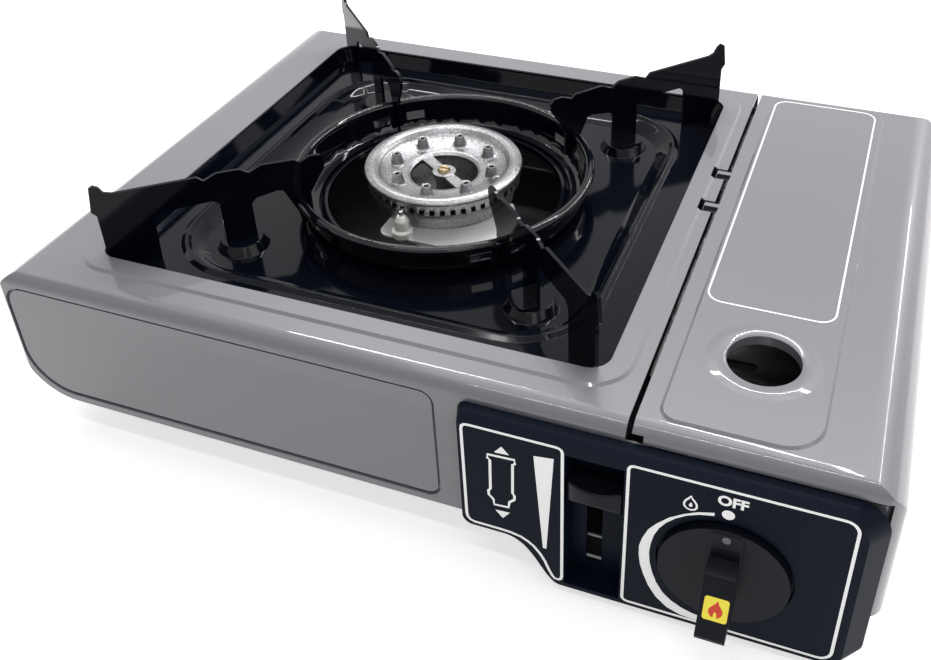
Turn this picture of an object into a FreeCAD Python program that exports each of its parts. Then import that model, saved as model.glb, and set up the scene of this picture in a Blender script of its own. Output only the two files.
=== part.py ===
"""Butane cassette stove: pressed steel body, burner, trivet, hinged lid and control panel.

Frame: +X to the user's right, +Y to the back, +Z up, origin under the middle of the footprint
on the table. Sizes are in millimetres.
"""
import FreeCAD, Part
import math
import os

V = FreeCAD.Vector
os.makedirs("parts", exist_ok=True)

# Body
body_width = 348.6          # outside, left wall to the lid's right wall
right_x = 170.2             # lid's right wall; x positions here count from the tray's side
body_depth = 248.4          # outside, front wall to back wall
plate_height = 86.4         # top plate above the table
knob_reach = 26.6           # knob's grip in front of the front wall
skirt_height = 23.5         # lower edge of the grey walls above the table
sheet = 0.8                 # body and lid steel
edge_round = 6.0            # roll between top plate and front and back walls
corner_round = 15.0         # upright corners at the back right
front_corner_round = 4.0
back_left_round = 22.0
lid_front_round = 8.0
end_roll = 15.0             # soft upper edge of the left and right ends
end_tuck = 24.0             # rolled lower edge of the left end
lid_gap_x = 82.1            # middle of the gap between top plate and lid
lid_gap = 2.0
lid_overlap = 1.4           # lid wall outside the body wall
recess_depth = 0.5          # pressed panel in the front wall
groove_depth = 1.2          # groove round it, from the pressed panel
groove_width = 1.2
recess_right = 12.5
recess_low = 26.6
recess_high = 79.5
recess_left_margin = 3.2
emboss = 0.9                # height of the pressed beads

# Opening and drip tray
opening_width = 212.0
opening_depth = 208.0
opening_round = 8.0
burner_x = -38.0            # centre of opening, tray, trivet and burner
burner_y = 14.7
rim_step = 9.0              # raised rim round the opening
tray_sheet = 0.6
tray_floor = 79.0           # flat border of the tray
tray_wall_run = 2.5
basin_half = 88.0
basin_round = 30.0
basin_drop = 4.0
bead_height = 1.4
seat_distance = 91.5        # corner seats of the trivet's middle legs
tray_hole_radius = 52.5
tray_lip = 2.4
tray_flange = 5.0

# Trivet
ring_radius = 65.0          # middle of the rolled rim
ring_top = 91.3
ring_bead = 2.1
ring_low_radius = 61.5
ring_inner_radius = 56.5
ring_sheet = 1.0
ring_floor = 76.4
blade_sheet = 1.4
foot_tab_length = 13.0
foot_tab_width = 8.0
blade_stand = 0.1           # blade feet above the tray

# Burner
rim_radius = 35.1
rim_top = 92.4
head_low = 85.0
post_circle = 22.3
post_count = 8
post_turn = 4.3             # degrees from +X to the first post
post_hole = 1.1
bowl_radius = 15.1
bridge_turn = -35.5
bridge_width = 5.2
port_count = 48
port_width = 2.2
port_height = 2.6
screw_radius = 1.6
base_low = 22.0             # underside of the burner body
throat_radius = 13.0
tube_axis_z = 34.0
tube_radius = 9.5
tube_wall = 0.8
nozzle_x = 70.0
nozzle_y = -80.0
nozzle_gap = 6.0            # air gap between jet thread and bell mouth
bracket_z = 75.5            # igniter strap round the burner body
electrode_reach = 38.2      # electrode in front of the burner axis

# Cartridge bay, valve and igniter
bay_left = 79.9
bay_right = 156.5
bay_front = -76.0
bay_back = 131.0
bay_floor = 14.0
bay_top = 76.0
knob_x = 118.5
knob_z = 38.8
valve_front = -102.0
chamber_radius = 21.0
collar_radius = 17.0
cartridge_z = 50.5
spindle_radius = 3.5
cam_reach = 11.5            # igniter cam's lobe from the spindle axis
run_clearance = 0.06        # radial, for turning fits
slide_clearance = 0.3       # for sliding pieces
push_travel = 8.0
lever_travel = 22.0
slider_z = 44.0             # rail and pin of the cartridge pusher
slider_front = -60.0
pin_radius = 2.0
cam_plate_x = 76.2
lead_radius = 1.2
lead_bend = 12.0

# Control panel
panel_left = 24.0
panel_right = 160.5
panel_proud = 7.0
panel_flare_left = 2.5      # the housing is wider at the wall than at its face
panel_flare_right = 6.0
panel_top = 79.6
panel_low = 6.3
panel_wall = 2.0
island_low = 26.0
lever_left = 62.8
lever_right = 83.2
lever_recess = 8.5
slot_left = 68.4
slot_right = 74.2
slot_low = 14.0
slot_high = 60.0
shelf_x = 40.0              # where the left island's lower edge starts to fall
knob_radius = 22.0
knob_disc = 2.4
knob_bar = 10.0
knob_well = 1.6
panel_end_round = 12.0
lever_rest_z = 46.5         # underside of the thumb tab, unlocked
tab_height = 14.5

# Feet and base plate
foot_radius = 8.5
foot_height = 13.0
base_clearance = 0.2        # base plate inside the walls
pan_step_x = 40.0           # left of this the pan is set back from the front wall
pan_setback = 15.0
screw_clearance = 0.05
fixed_clearance = 0.03      # radial, for pieces fixed on a shaft

# Lid
hook_width = 6.0
hook_notch = 6.0
sight_radius = 13.0
sight_bead = 17.0
sight_from_front = 45.0
lid_field_left = 6.0
lid_field_right = 142.5

overall_depth = body_depth + knob_reach
back_y = overall_depth / 2
front_y = back_y - body_depth
left_x = right_x - body_width
middle_x = (left_x + right_x) / 2
panel_y = front_y - panel_proud
knob_front_y = front_y - knob_reach
plate_under = plate_height - sheet
bay_wall_inside = lid_overlap + 2 * sheet     # from the lid's outside to inside the bay walls
base_floor = foot_height
sight_x = knob_x - 0.7
sight_y = front_y + sight_from_front
electrode_x = burner_x - 3.0
electrode_y = burner_y - electrode_reach
Z_UP = V(0, 0, 1)
Y_BACK = V(0, 1, 0)
made = {}


def keep(name, shape):
    """Write one node, moved so that the footprint's middle is at x = 0."""
    placed = shape.copy()
    placed.translate(V(-middle_x, 0, 0))
    made[name] = placed
    placed.exportStep("parts/%s.step" % name)


def corner_wire(x0, y0, x1, y1, radii, place):
    """Closed outline of a rectangle with rounded corners.

    radii are for the corners (x0,y0), (x1,y0), (x1,y1), (x0,y1); place maps two numbers to a point.
    """
    k = math.sqrt(0.5)
    corners = [(x0, y0, 1, 1), (x1, y0, -1, 1), (x1, y1, -1, -1), (x0, y1, 1, -1)]
    points = []
    for (cx, cy, sx, sy), r in zip(corners, radii):
        first = (cx, cy + sy * r)
        mid = (cx + sx * r * (1 - k), cy + sy * r * (1 - k))
        last = (cx + sx * r, cy)
        if (sx, sy) in ((-1, 1), (1, -1)):
            first, last = last, first
        points.append((place(*first), place(*mid), place(*last), r))
    edges = []
    for i, (first, mid, last, r) in enumerate(points):
        if r > 0:
            edges.append(Part.Arc(first, mid, last).toShape())
        following = points[(i + 1) % 4][0]
        if last.distanceToPoint(following) > 1e-6:
            edges.append(Part.LineSegment(last, following).toShape())
    return Part.Wire(edges)


def round_box(x0, y0, x1, y1, z0, z1, r):
    """Upright block with rounded upright corners; r is one radius or four."""
    radii = r if isinstance(r, (list, tuple)) else [r] * 4
    wire = corner_wire(x0, y0, x1, y1, radii, lambda a, b: V(a, b, z0))
    return Part.Face(wire).extrude(V(0, 0, z1 - z0))


def round_frame(cx, cy, half_x, half_y, z, r):
    """Rounded rectangle wire at height z."""
    return corner_wire(cx - half_x, cy - half_y, cx + half_x, cy + half_y, [r] * 4,
                       lambda a, b: V(a, b, z))


def loft(wires):
    return Part.makeLoft(wires, True, True)


def soft_box(x0, x1, y0, y1, z0, z1, upright, top_left, top_right, top_ends, low_left=0):
    """Block with rounded upright corners and rolled top edges, as a drawn sheet cover has."""
    plan = round_box(x0, y0, x1, y1, z0, z1, upright)
    side = corner_wire(x0, z0, x1, z1, [low_left, 0, top_right, top_left],
                       lambda a, b: V(a, y0, b))
    end = corner_wire(y0, z0, y1, z1, [0, 0, top_ends, top_ends], lambda a, b: V(x0, a, b))
    shape = plan.common(Part.Face(side).extrude(V(0, y1 - y0, 0)))
    return shape.common(Part.Face(end).extrude(V(x1 - x0, 0, 0)))


def polygon(points, place):
    return Part.Face(Part.makePolygon([place(*p) for p in points + points[:1]]))


def revolve(points, x=burner_x, y=burner_y):
    """Turn a closed (radius, z) outline about the upright axis through (x, y)."""
    face = polygon(points, lambda r, z: V(x + r, y, z))
    return face.revolve(V(x, y, 0), Z_UP, 360)


def cylinder_y(radius, y0, y1, x, z):
    return Part.makeCylinder(radius, y1 - y0, V(x, y0, z), Y_BACK)


def cylinder_z(radius, z0, z1, x, y):
    return Part.makeCylinder(radius, z1 - z0, V(x, y, z0), Z_UP)


def box(x0, x1, y0, y1, z0, z1):
    return Part.makeBox(x1 - x0, y1 - y0, z1 - z0, V(x0, y0, z0))


def joined(shapes):
    whole = shapes[0]
    for shape in shapes[1:]:
        whole = whole.fuse(shape)
    return whole.removeSplitter()


def upright_rounds(inner):
    """Radii of the upright corners, from the front left one, inner below the outside."""
    return [r - inner for r in (front_corner_round, front_corner_round, corner_round,
                                back_left_round)]


def recess_block(grow, depth):
    """Block behind the recess outline of the front wall, grown all round, to a depth."""
    left = left_x + recess_left_margin
    wire = corner_wire(left - grow, recess_low - grow, recess_right + grow, recess_high + grow,
                       [end_tuck - recess_left_margin + grow, 6 + grow, 6 + grow, 9 + grow],
                       lambda a, b: V(a, front_y - 1, b))
    return Part.Face(wire).extrude(V(0, 1 + depth, 0))


def front_recess(shift):
    """The pressed panel with the groove round it, or its inner face shift behind the outer."""
    deep = recess_block(shift, recess_depth + groove_depth + shift)
    middle = recess_block(-groove_width - shift, recess_depth + groove_depth + shift + 1)
    return deep.cut(middle).fuse(recess_block(shift, recess_depth + shift))


def body_shell():
    """Top plate and the walls; the bay side has no top because the lid covers it."""
    inner = sheet
    outer = soft_box(left_x, right_x, front_y, back_y, skirt_height, plate_height,
                     upright_rounds(0), end_roll, edge_round, edge_round, end_tuck)
    cavity = soft_box(left_x + inner, right_x - inner, front_y + inner, back_y - inner,
                      skirt_height + inner, plate_under, upright_rounds(inner),
                      end_roll - inner, edge_round - inner, edge_round - inner, end_tuck - inner)
    cavity = cavity.fuse(box(left_x + end_tuck, lid_gap_x, front_y + inner, back_y - inner,
                             skirt_height - 1, skirt_height + 2))
    half_x = opening_width / 2
    half_y = opening_depth / 2
    rim = loft([round_frame(burner_x, burner_y, half_x + rim_step, half_y + rim_step,
                            plate_height - 0.2, opening_round + rim_step),
                round_frame(burner_x, burner_y, half_x + rim_step - 1.5, half_y + rim_step - 1.5,
                            plate_height + emboss, opening_round + rim_step - 1.5)])
    under_rim = rim.copy()
    under_rim.translate(V(0, 0, -sheet))
    outer = outer.cut(front_recess(0)).fuse(rim)
    cavity = cavity.cut(front_recess(sheet)).fuse(under_rim)
    shell = outer.cut(cavity)
    shell = shell.cut(round_box(burner_x - half_x, burner_y - half_y, burner_x + half_x,
                                burner_y + half_y, 0, 2 * plate_height, opening_round))
    edge = lid_gap_x - lid_gap / 2
    lid_side = soft_box(edge, right_x + 1, front_y - 1, back_y + 1, skirt_height - 2,
                        plate_height + 5, 0, 0, 0, 0)
    shell = shell.cut(lid_side)
    for y in hook_places():
        shell = shell.cut(box(edge - hook_notch, edge + 1, y - hook_width / 2 - 1.2,
                              y + hook_width / 2 + 1.2, plate_under - 1, plate_height + 1))
    bay = bay_walls()
    panel_hole = box(panel_left + 12, panel_right - 12, front_y - 2, front_y + 3, panel_low,
                     panel_top - 4)
    for x, z, y in panel_screw_places():
        bay = bay.cut(cylinder_y(screw_radius, front_y - 2, front_y + 8, x, z))
        shell = shell.cut(cylinder_y(screw_radius, front_y - 2, front_y + 8, x, z))
    return shell.fuse(bay).cut(panel_hole)


def hook_places():
    return [burner_y + 10.0, burner_y + 37.0]


def bay_walls():
    """Front, right and back walls of the body beside the bay, one lid overlap inside the lid."""
    step = lid_overlap + sheet
    x0 = lid_gap_x - lid_gap / 2 - 0.01
    top = plate_height - 9.0
    outer = round_box(x0 - 30, front_y + step, right_x - step, back_y - step, skirt_height, top,
                      [0, lid_front_round - step, corner_round - step, 0])
    inner = round_box(x0 - 31, front_y + step + sheet, right_x - step - sheet,
                      back_y - step - sheet, skirt_height - 1, top + 1,
                      [0, lid_front_round - step - sheet, corner_round - step - sheet, 0])
    walls = outer.cut(inner)
    walls = walls.cut(box(x0 - 40, x0 - 6.0, front_y - 5, back_y + 5, 0, top + 5))
    joggle_front = box(x0 - 6.0, x0, front_y + sheet, front_y + step + sheet, skirt_height, top)
    joggle_back = box(x0 - 6.0, x0, back_y - step - sheet, back_y - sheet, skirt_height, top)
    return walls.fuse(joggle_front).fuse(joggle_back).removeSplitter()


def lid():
    """Pressed cover of the cartridge bay: full wall on the right, short lips at the ends."""
    x0 = lid_gap_x + lid_gap / 2
    low = skirt_height + 2.5
    outer = soft_box(x0, right_x, front_y, back_y, low, plate_height,
                     [0, lid_front_round, corner_round, 0], 0, end_roll, edge_round)
    thin = sheet
    cavity = soft_box(x0 - 5, right_x - thin, front_y + thin, back_y - thin, low - 1, plate_under,
                      [0, lid_front_round - thin, corner_round - thin, 0], 0,
                      end_roll - thin, edge_round - thin)
    groove = groove_frame(x0)
    shell = outer.fuse(groove).cut(cavity.cut(box(x0 - 6, x0 + sheet, front_y, back_y, 0,
                                                  plate_under - 1.5)))
    lower = groove.copy()
    lower.translate(V(0, 0, -sheet))
    shell = shell.cut(lower)
    lip = panel_top + 0.5
    shell = shell.cut(box(x0 - 1, panel_right + panel_flare_right - 1, front_y - 1,
                          front_y + lid_front_round + 1, 0, lip))
    shell = shell.cut(box(x0 - 1, right_x - corner_round - 4, back_y - 9, back_y + 1, 0,
                          plate_height - 12))
    shell = shell.cut(box(x0 - 1, x0 + sheet + 1, front_y - 1, back_y + 1, 0, plate_under - 2.5))
    shell = shell.cut(box(x0 - 1, x0 + 4, front_y - 1, front_y + 12, 0, plate_under - 2.5))
    bead = Part.makeCone(sight_bead + 2, sight_bead - 0.5, emboss + 0.2,
                         V(sight_x, sight_y, plate_height - 0.2), Z_UP)
    below = bead.copy()
    below.translate(V(0, 0, -sheet))
    shell = shell.fuse(bead).cut(below)
    shell = shell.cut(cylinder_z(sight_radius, 0, 2 * plate_height, sight_x, sight_y))
    collar = cylinder_z(sight_radius + sheet, plate_under - 2.2, plate_height + emboss - 0.3,
                        sight_x, sight_y)
    collar = collar.cut(cylinder_z(sight_radius, 0, 2 * plate_height, sight_x, sight_y))
    shell = shell.fuse(collar)
    for y in hook_places():
        arm = box(x0 - hook_notch, x0 + 1, y - hook_width / 2, y + hook_width / 2,
                  plate_under - 0.2, plate_under + 0.6)
        tip = box(x0 - hook_notch, x0 - hook_notch + 0.9, y - hook_width / 2, y + hook_width / 2,
                  plate_under - 3.2, plate_under + 0.6)
        shell = shell.fuse(arm).fuse(tip)
    return shell.removeSplitter()


def groove_frame(x0):
    """Raised field of the lid, bounded by the pressed step."""
    low = corner_wire(x0 + lid_field_left, front_y + 6, lid_field_right, back_y - 8,
                      [7, 14, 7, 7], lambda a, b: V(a, b, plate_height - 0.2))
    high = corner_wire(x0 + lid_field_left + 1.2, front_y + 7.2, lid_field_right - 1.2,
                       back_y - 9.2, [5.8, 12.8, 5.8, 5.8],
                       lambda a, b: V(a, b, plate_height + emboss))
    return loft([low, high])


def pan_block(inset, z0, z1):
    """Block inside the walls, set back along the front and left where it would show."""
    x0 = left_x + end_tuck + inset
    x1 = right_x - bay_wall_inside - base_clearance - inset
    y0 = front_y + bay_wall_inside + base_clearance + inset
    y1 = back_y - bay_wall_inside - base_clearance - inset
    right = round_box(pan_step_x + inset, y0, x1, y1, z0, z1,
                      [0, lid_front_round - bay_wall_inside, corner_round - bay_wall_inside, 0])
    left = round_box(x0, y0 + pan_setback, x1 - 30, y1, z0, z1, [9 - inset, 0, 0, 9 - inset])
    return right.fuse(left)


def base_plate():
    """Bottom pan inside the shell's skirt, with a flange over the set-back part and vent slots."""
    top = skirt_height + 2.5
    flange_top = recess_low - sheet - 0.4
    pan = pan_block(0, foot_height - sheet, top).cut(pan_block(sheet, foot_height, top + 1))
    flange = box(left_x + end_tuck - 1, pan_step_x + 10, front_y + sheet + base_clearance,
                 back_y - sheet - base_clearance, flange_top - sheet, flange_top)
    pan = pan.fuse(flange.cut(pan_block(sheet, foot_height, top + 1)))
    slots = [(left_x + 55 + 20 * i, burner_y - 62) for i in range(7)]
    slots += [(8 + 20 * i, burner_y + 62) for i in range(4)]
    for x, y in slots:
        pan = pan.cut(round_box(x, y - 16, x + 7, y + 16, 0, foot_height + 1, 3.4))
    for x, y in base_screw_places():
        pan = pan.cut(cylinder_z(screw_radius, 0, foot_height + 2, x, y))
    return pan


def foot(x, y):
    """Round foot with a domed underside and a peg in the base plate."""
    z = foot_height - sheet
    points = [(0, 0), (foot_radius - 3.0, 0), (foot_radius - 0.8, 1.2), (foot_radius, 4.0),
              (foot_radius + 1.0, z), (0, z)]
    return revolve(points, x, y)


def foot_places():
    front = front_y + 14.5
    back = back_y - 16.0
    return [(left_x + end_tuck + 10.0, front_y + 29.0), (pan_step_x + 11.0, front),
            (right_x - 24.0, front), (left_x + end_tuck + 10.0, back), (right_x - 22.0, back)]


def tray_profile(shift):
    """Solid bounded by the tray's upper face, moved down by shift."""
    half_x = opening_width / 2
    half_y = opening_depth / 2
    low = tray_floor - basin_drop
    top = plate_under - 0.1
    deep = loft([round_frame(burner_x, burner_y, half_x + 0.5, half_y + 0.5, top,
                             opening_round + 0.5),
                 round_frame(burner_x, burner_y, half_x - tray_wall_run, half_y - tray_wall_run,
                             tray_floor, opening_round - tray_wall_run)])
    basin = loft([round_frame(burner_x, burner_y, basin_half, basin_half, tray_floor + 0.1,
                              basin_round),
                  round_frame(burner_x, burner_y, basin_half - 6, basin_half - 6, low,
                              basin_round - 6)])
    space = deep.fuse(basin)
    bead = loft([round_frame(burner_x, burner_y, basin_half + 4.5, basin_half + 4.5,
                             tray_floor - 0.1, basin_round + 4.5),
                 round_frame(burner_x, burner_y, basin_half + 2.5, basin_half + 2.5,
                             tray_floor + bead_height, basin_round + 2.5)])
    hollow = loft([round_frame(burner_x, burner_y, basin_half - 0.1, basin_half - 0.1,
                               tray_floor - 0.2, basin_round),
                   round_frame(burner_x, burner_y, basin_half + 1.5, basin_half + 1.5,
                               tray_floor + bead_height + 0.1, basin_round + 1.5)])
    space = space.cut(bead.cut(hollow))
    for sx, sy in quarter_signs():
        d = seat_distance / math.sqrt(2)
        space = space.cut(Part.makeCone(11.0, 8.5, basin_drop + 0.1,
                                        V(burner_x + sx * d, burner_y + sy * d, low - 0.1), Z_UP))
    lip = revolve([(0, low - 0.1), (tray_hole_radius + 3.5, low - 0.1),
                   (tray_hole_radius + 1.5, low + tray_lip), (0, low + tray_lip)])
    space = space.cut(lip)
    space.translate(V(0, 0, -shift))
    return space


def quarter_signs():
    return [(-1, -1), (1, -1), (1, 1), (-1, 1)]


def drip_tray():
    """Enamelled pan: hanging flange, sloped wall, bead, basin, corner seats and centre lip."""
    half_x = opening_width / 2 + tray_flange
    half_y = opening_depth / 2 + tray_flange
    top = plate_under - 0.1
    slab = round_box(burner_x - half_x, burner_y - half_y, burner_x + half_x, burner_y + half_y,
                     tray_floor - basin_drop - 3, top, opening_round + tray_flange)
    under = round_box(burner_x - half_x - 1, burner_y - half_y - 1, burner_x + half_x + 1,
                      burner_y + half_y + 1, tray_floor - basin_drop - 4, top - tray_sheet,
                      opening_round + tray_flange)
    flange = slab.cut(tray_profile(0))
    pan = flange.cut(under.cut(tray_body_below()))
    return pan.cut(cylinder_z(tray_hole_radius, 0, 2 * plate_height, burner_x, burner_y))


def tray_body_below():
    """Everything above the tray's lower face."""
    half_x = opening_width / 2
    half_y = opening_depth / 2
    wide = tray_profile(tray_sheet)
    collar = loft([round_frame(burner_x, burner_y, half_x + 1.2, half_y + 1.2,
                               plate_under + 1, opening_round + 1.2),
                   round_frame(burner_x, burner_y, half_x - tray_wall_run + 0.7,
                               half_y - tray_wall_run + 0.7, tray_floor - tray_sheet,
                               opening_round - tray_wall_run + 0.7)])
    outer_lip = revolve([(0, tray_floor - basin_drop - tray_sheet),
                         (tray_hole_radius + 3.5, tray_floor - basin_drop - tray_sheet),
                         (tray_hole_radius + 1.0, tray_floor - basin_drop + tray_lip - tray_sheet),
                         (tray_hole_radius + 1.0, tray_floor), (0, tray_floor)])
    return wide.fuse(collar).fuse(outer_lip)


def trivet_ring():
    """Rolled rim, slotted wind band and inner floor flange, slit for the blades."""
    bead = Part.makeTorus(ring_radius, ring_bead, V(burner_x, burner_y, ring_top - ring_bead))
    wall = revolve([(ring_radius - 1.6, ring_top - 1.2), (ring_radius - 0.6, ring_top - 1.2),
                    (ring_low_radius + ring_sheet, ring_floor),
                    (ring_inner_radius, ring_floor - 0.6),
                    (ring_inner_radius, ring_floor + ring_sheet - 0.6),
                    (ring_low_radius, ring_floor + ring_sheet)])
    ring = bead.fuse(wall)
    for quarter in range(4):
        for side in (-1, 1):
            slot = box(ring_low_radius - 5, ring_radius + 5, -4.5, 4.5, ring_floor + 4.5,
                       ring_floor + 8.5)
            slot.rotate(V(0, 0, 0), Z_UP, 45 + 90 * quarter + 8 * side)
            slot.translate(V(burner_x, burner_y, 0))
            ring = ring.cut(slot)
    for blade in blades():
        ring = ring.cut(blade)
    return ring.removeSplitter()


def blade_outline():
    """(distance from the burner axis, height) round one blade, from the tip inwards."""
    low = tray_floor + blade_stand
    return [(140.6, low), (140.6, 83.0), (144.4, 87.5), (144.4, 105.2), (146.2, 107.4),
            (144.9, 117.6), (143.2, 118.6), (141.2, 117.4), (139.6, 114.6), (137.0, 113.6), (104.8, 112.0), (102.4, 109.7),
            (97.0, 111.9), (88.0, 111.3), (84.2, 108.8), (79.0, 111.0), (65.4, 109.9),
            (63.4, 108.2), (58.6, 110.0), (54.4, 109.6), (52.9, 107.6), (53.2, 103.4),
            (60.2, 92.6), (60.2, low), (65.6, low), (66.4, 84.4), (71.6, 96.6), (74.0, 97.4),
            (83.2, 96.2), (85.2, 94.0), (85.2, low), (98.0, low), (98.0, 97.6), (100.2, 99.6),
            (121.2, 100.3), (123.8, 98.0), (124.4, low)]


def blades():
    """Four upright blades on the diagonals, each with a turned foot on its middle leg."""
    face = polygon(blade_outline(), lambda s, z: V(s, -blade_sheet / 2, z))
    blade = face.extrude(V(0, blade_sheet, 0))
    low = tray_floor + blade_stand
    middle = (85.2 + 98.0) / 2
    tab = round_box(middle - foot_tab_length / 2, -foot_tab_width, middle + foot_tab_length / 2,
                    blade_sheet / 2, low, low + blade_sheet, [3, 3, 0, 0])
    blade = blade.fuse(tab).removeSplitter()
    turned = []
    for quarter in range(4):
        piece = blade.copy()
        piece.rotate(V(0, 0, 0), Z_UP, 45 + 90 * quarter)
        piece.translate(V(burner_x, burner_y, 0))
        turned.append(piece)
    return turned


def around(shape, angle):
    """Turn a shape modelled on +X about the burner axis."""
    piece = shape.copy()
    piece.rotate(V(0, 0, 0), Z_UP, angle)
    piece.translate(V(burner_x, burner_y, 0))
    return piece


def burner_head():
    """Cast head: flat rim, dished floor, hollow posts, screw bridge and a ring of ports."""
    r = rim_radius
    t = rim_top
    head = revolve([(bowl_radius, t - 6.6), (bowl_radius + 0.8, t - 5.6), (20.5, t - 5.2),
                    (27.6, t - 3.4), (29.2, t - 1.0), (30.0, t - 0.4), (r - 2.6, t),
                    (r - 0.6, t - 0.7), (r, t - 1.8), (r - 0.4, t - 2.8), (r - 1.0, t - 3.2),
                    (r - 1.0, head_low), (r - 4.8, head_low), (r - 5.4, t - 4.9),
                    (21.0, t - 7.2), (bowl_radius, t - 8.2)])
    port = box(r - 6.0, r + 1.0, -port_width / 2, port_width / 2, head_low - 1.0,
               head_low + port_height)
    ports = [around(port, 360.0 * i / port_count) for i in range(port_count)]
    head = head.cut(Part.makeCompound(ports))
    post = Part.makeCone(3.3, 2.0, 6.4, V(post_circle, 0, t - 6.4), Z_UP)
    drilled = Part.makeCylinder(post_hole, 5.0, V(post_circle, 0, t - 3.6), Z_UP)
    for i in range(post_count):
        angle = post_turn + 360.0 * i / post_count
        head = head.fuse(around(post, angle))
    for i in range(post_count):
        head = head.cut(around(drilled, post_turn + 360.0 * i / post_count))
    bar = box(-bowl_radius - 0.6, bowl_radius + 0.6, -bridge_width / 2, bridge_width / 2,
              t - 7.8, t - 6.2)
    head = head.fuse(around(bar, bridge_turn))
    head = head.fuse(cylinder_z(bridge_width, t - 8.0, t - 5.8, burner_x, burner_y))
    return head.cut(cylinder_z(screw_radius, 0, 2 * t, burner_x, burner_y)).removeSplitter()


def burner_base():
    """Cast lower body: flared bowl, throat, centre pillar for the screw, side inlet."""
    r = rim_radius
    t = throat_radius
    low = base_low
    base = revolve([(0, low), (t - 1.5, low), (t, low + 2), (t, 46.0), (t + 4.0, 54.0),
                    (t + 13.0, 64.0), (30.6, 74.0), (31.6, head_low - 3.2),
                    (r - 1.2, head_low - 1.4), (r - 1.2, head_low - 0.2),
                    (r - 2.0, head_low - 0.2), (r - 3.4, head_low - 1.6), (28.6, 76.0),
                    (t + 11.0, 66.5), (t + 2.0, 56.0), (t - 2.6, 48.0), (t - 2.6, low + 2.6),
                    (0, low + 2.6)])
    pillar = cylinder_z(4.0, low + 1, rim_top - 8.1, burner_x, burner_y)
    inlet = inlet_cylinder(tube_radius + 2.2, t - 3.0, t + 13.0)
    base = base.fuse(inlet).cut(inlet_cylinder(tube_radius, t - 6.0, t + 40.0)).fuse(pillar)
    base = base.cut(cylinder_z(screw_radius, rim_top - 22, rim_top, burner_x, burner_y))
    return base.removeSplitter()


def tube_direction():
    return V(nozzle_x - burner_x, nozzle_y - burner_y, 0).normalize()


def tube_length():
    return math.hypot(nozzle_x - burner_x, nozzle_y - burner_y)


def along_tube(distance):
    """Point on the mixing tube's axis."""
    return V(burner_x, burner_y, tube_axis_z) + tube_direction() * distance


def tube_turned(points, start):
    """Turn (distance, radius) points about the mixing tube's axis."""
    d = tube_direction()
    across = V(-d.y, d.x, 0)
    face = polygon(points, lambda a, b: along_tube(start + a) + across * b)
    return face.revolve(along_tube(start), d, 360)


def inlet_cylinder(radius, start, end):
    return Part.makeCylinder(radius, end - start, along_tube(start), tube_direction())


def mixing_tube():
    """Steel venturi tube with a waist and a bell mouth."""
    reach = tube_length() - nozzle_gap
    wide = tube_radius - run_clearance
    outer = [(throat_radius - 2.0, wide), (34.0, wide), (62.0, 7.0), (reach - 22.0, 7.0),
             (reach - 6.0, 10.5), (reach, 11.2)]
    inner = [(a, b - tube_wall) for a, b in reversed(outer)]
    return tube_turned(outer + inner, 0)


def nozzle_start():
    return tube_length() - nozzle_gap - 1.0


def gas_nozzle():
    """Brass jet in the valve outlet, pointing into the bell mouth."""
    return tube_turned([(0, 0.5), (0, 1.6), (2.0, 3.0), (4.0, 3.0), (4.0, 5.0), (7.0, 5.0),
                        (7.0, 3.0), (12.0, 3.0), (12.0, 0.5)], nozzle_start())


def bay_frame():
    """Open-topped steel bay: slotted floor, front wall with the collar hole, rail slot."""
    outer = round_box(bay_left, bay_front, bay_right, bay_back, bay_floor, bay_top, 3.0)
    inner = round_box(bay_left + sheet, bay_front + sheet, bay_right - sheet, bay_back - sheet,
                      bay_floor + sheet, bay_top + 1, 2.2)
    bay = outer.cut(inner)
    for i in range(6):
        y = bay_front + 34 + 27 * i
        for x in (knob_x - 18, knob_x + 18):
            bay = bay.cut(round_box(x - 9, y - 3, x + 9, y + 3, 0, bay_floor + 2, 2.9))
    bay = bay.cut(cylinder_y(collar_radius + run_clearance, bay_front - 2, bay_front + 3,
                             knob_x, cartridge_z))
    reach = pin_radius + slide_clearance
    bay = bay.cut(box(bay_left - 1, bay_left + 2, slider_front + 2 - push_travel - reach,
                      slider_front + 2 + reach, slider_z - reach, slider_z + reach))
    for x, y in base_screw_places():
        bay = bay.cut(cylinder_z(screw_radius, 0, bay_floor + 2, x, y))
    return bay


def valve_body():
    """Die-cast gas governor: chamber, neck, outlet arm, flat for the cover, spindle boss."""
    back = bay_front - 0.1
    chamber = cylinder_y(chamber_radius, valve_front + 4, back - 2, knob_x, cartridge_z - 4)
    neck = cylinder_y(12.9, back - 3, back + 1, knob_x, cartridge_z)
    boss = cylinder_y(8.0, valve_front + 0.5, valve_front + 10, knob_x, knob_z)
    start = nozzle_start() + 7.0
    arm = inlet_cylinder(6.0, start, start + 11.0)
    end = along_tube(start + 6.0)
    block = box(end.x, knob_x - 10, end.y - 6.0, end.y + 6.0, tube_axis_z - 5.9,
                tube_axis_z + 6.0)
    pad = box(knob_x, knob_x + chamber_radius + 1.0, valve_front + 6, back - 4,
              cartridge_z - 12, cartridge_z + 4)
    shape = joined([chamber, neck, boss, arm, block, pad])
    shape = shape.cut(inlet_cylinder(3.0, start - 1, start + 5.0))
    for y, z in valve_screw_places():
        shape = shape.cut(Part.makeCylinder(screw_radius, 8.0,
                                            V(knob_x + chamber_radius - 6, y, z), V(1, 0, 0)))
    return shape.cut(cylinder_y(spindle_radius + run_clearance, valve_front - 2,
                                valve_front + 18, knob_x, knob_z))


def valve_screw_places():
    middle = (valve_front + bay_front) / 2 + 0.9
    return [(middle - 8.5, cartridge_z - 4), (middle + 8.5, cartridge_z - 4)]


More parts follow.
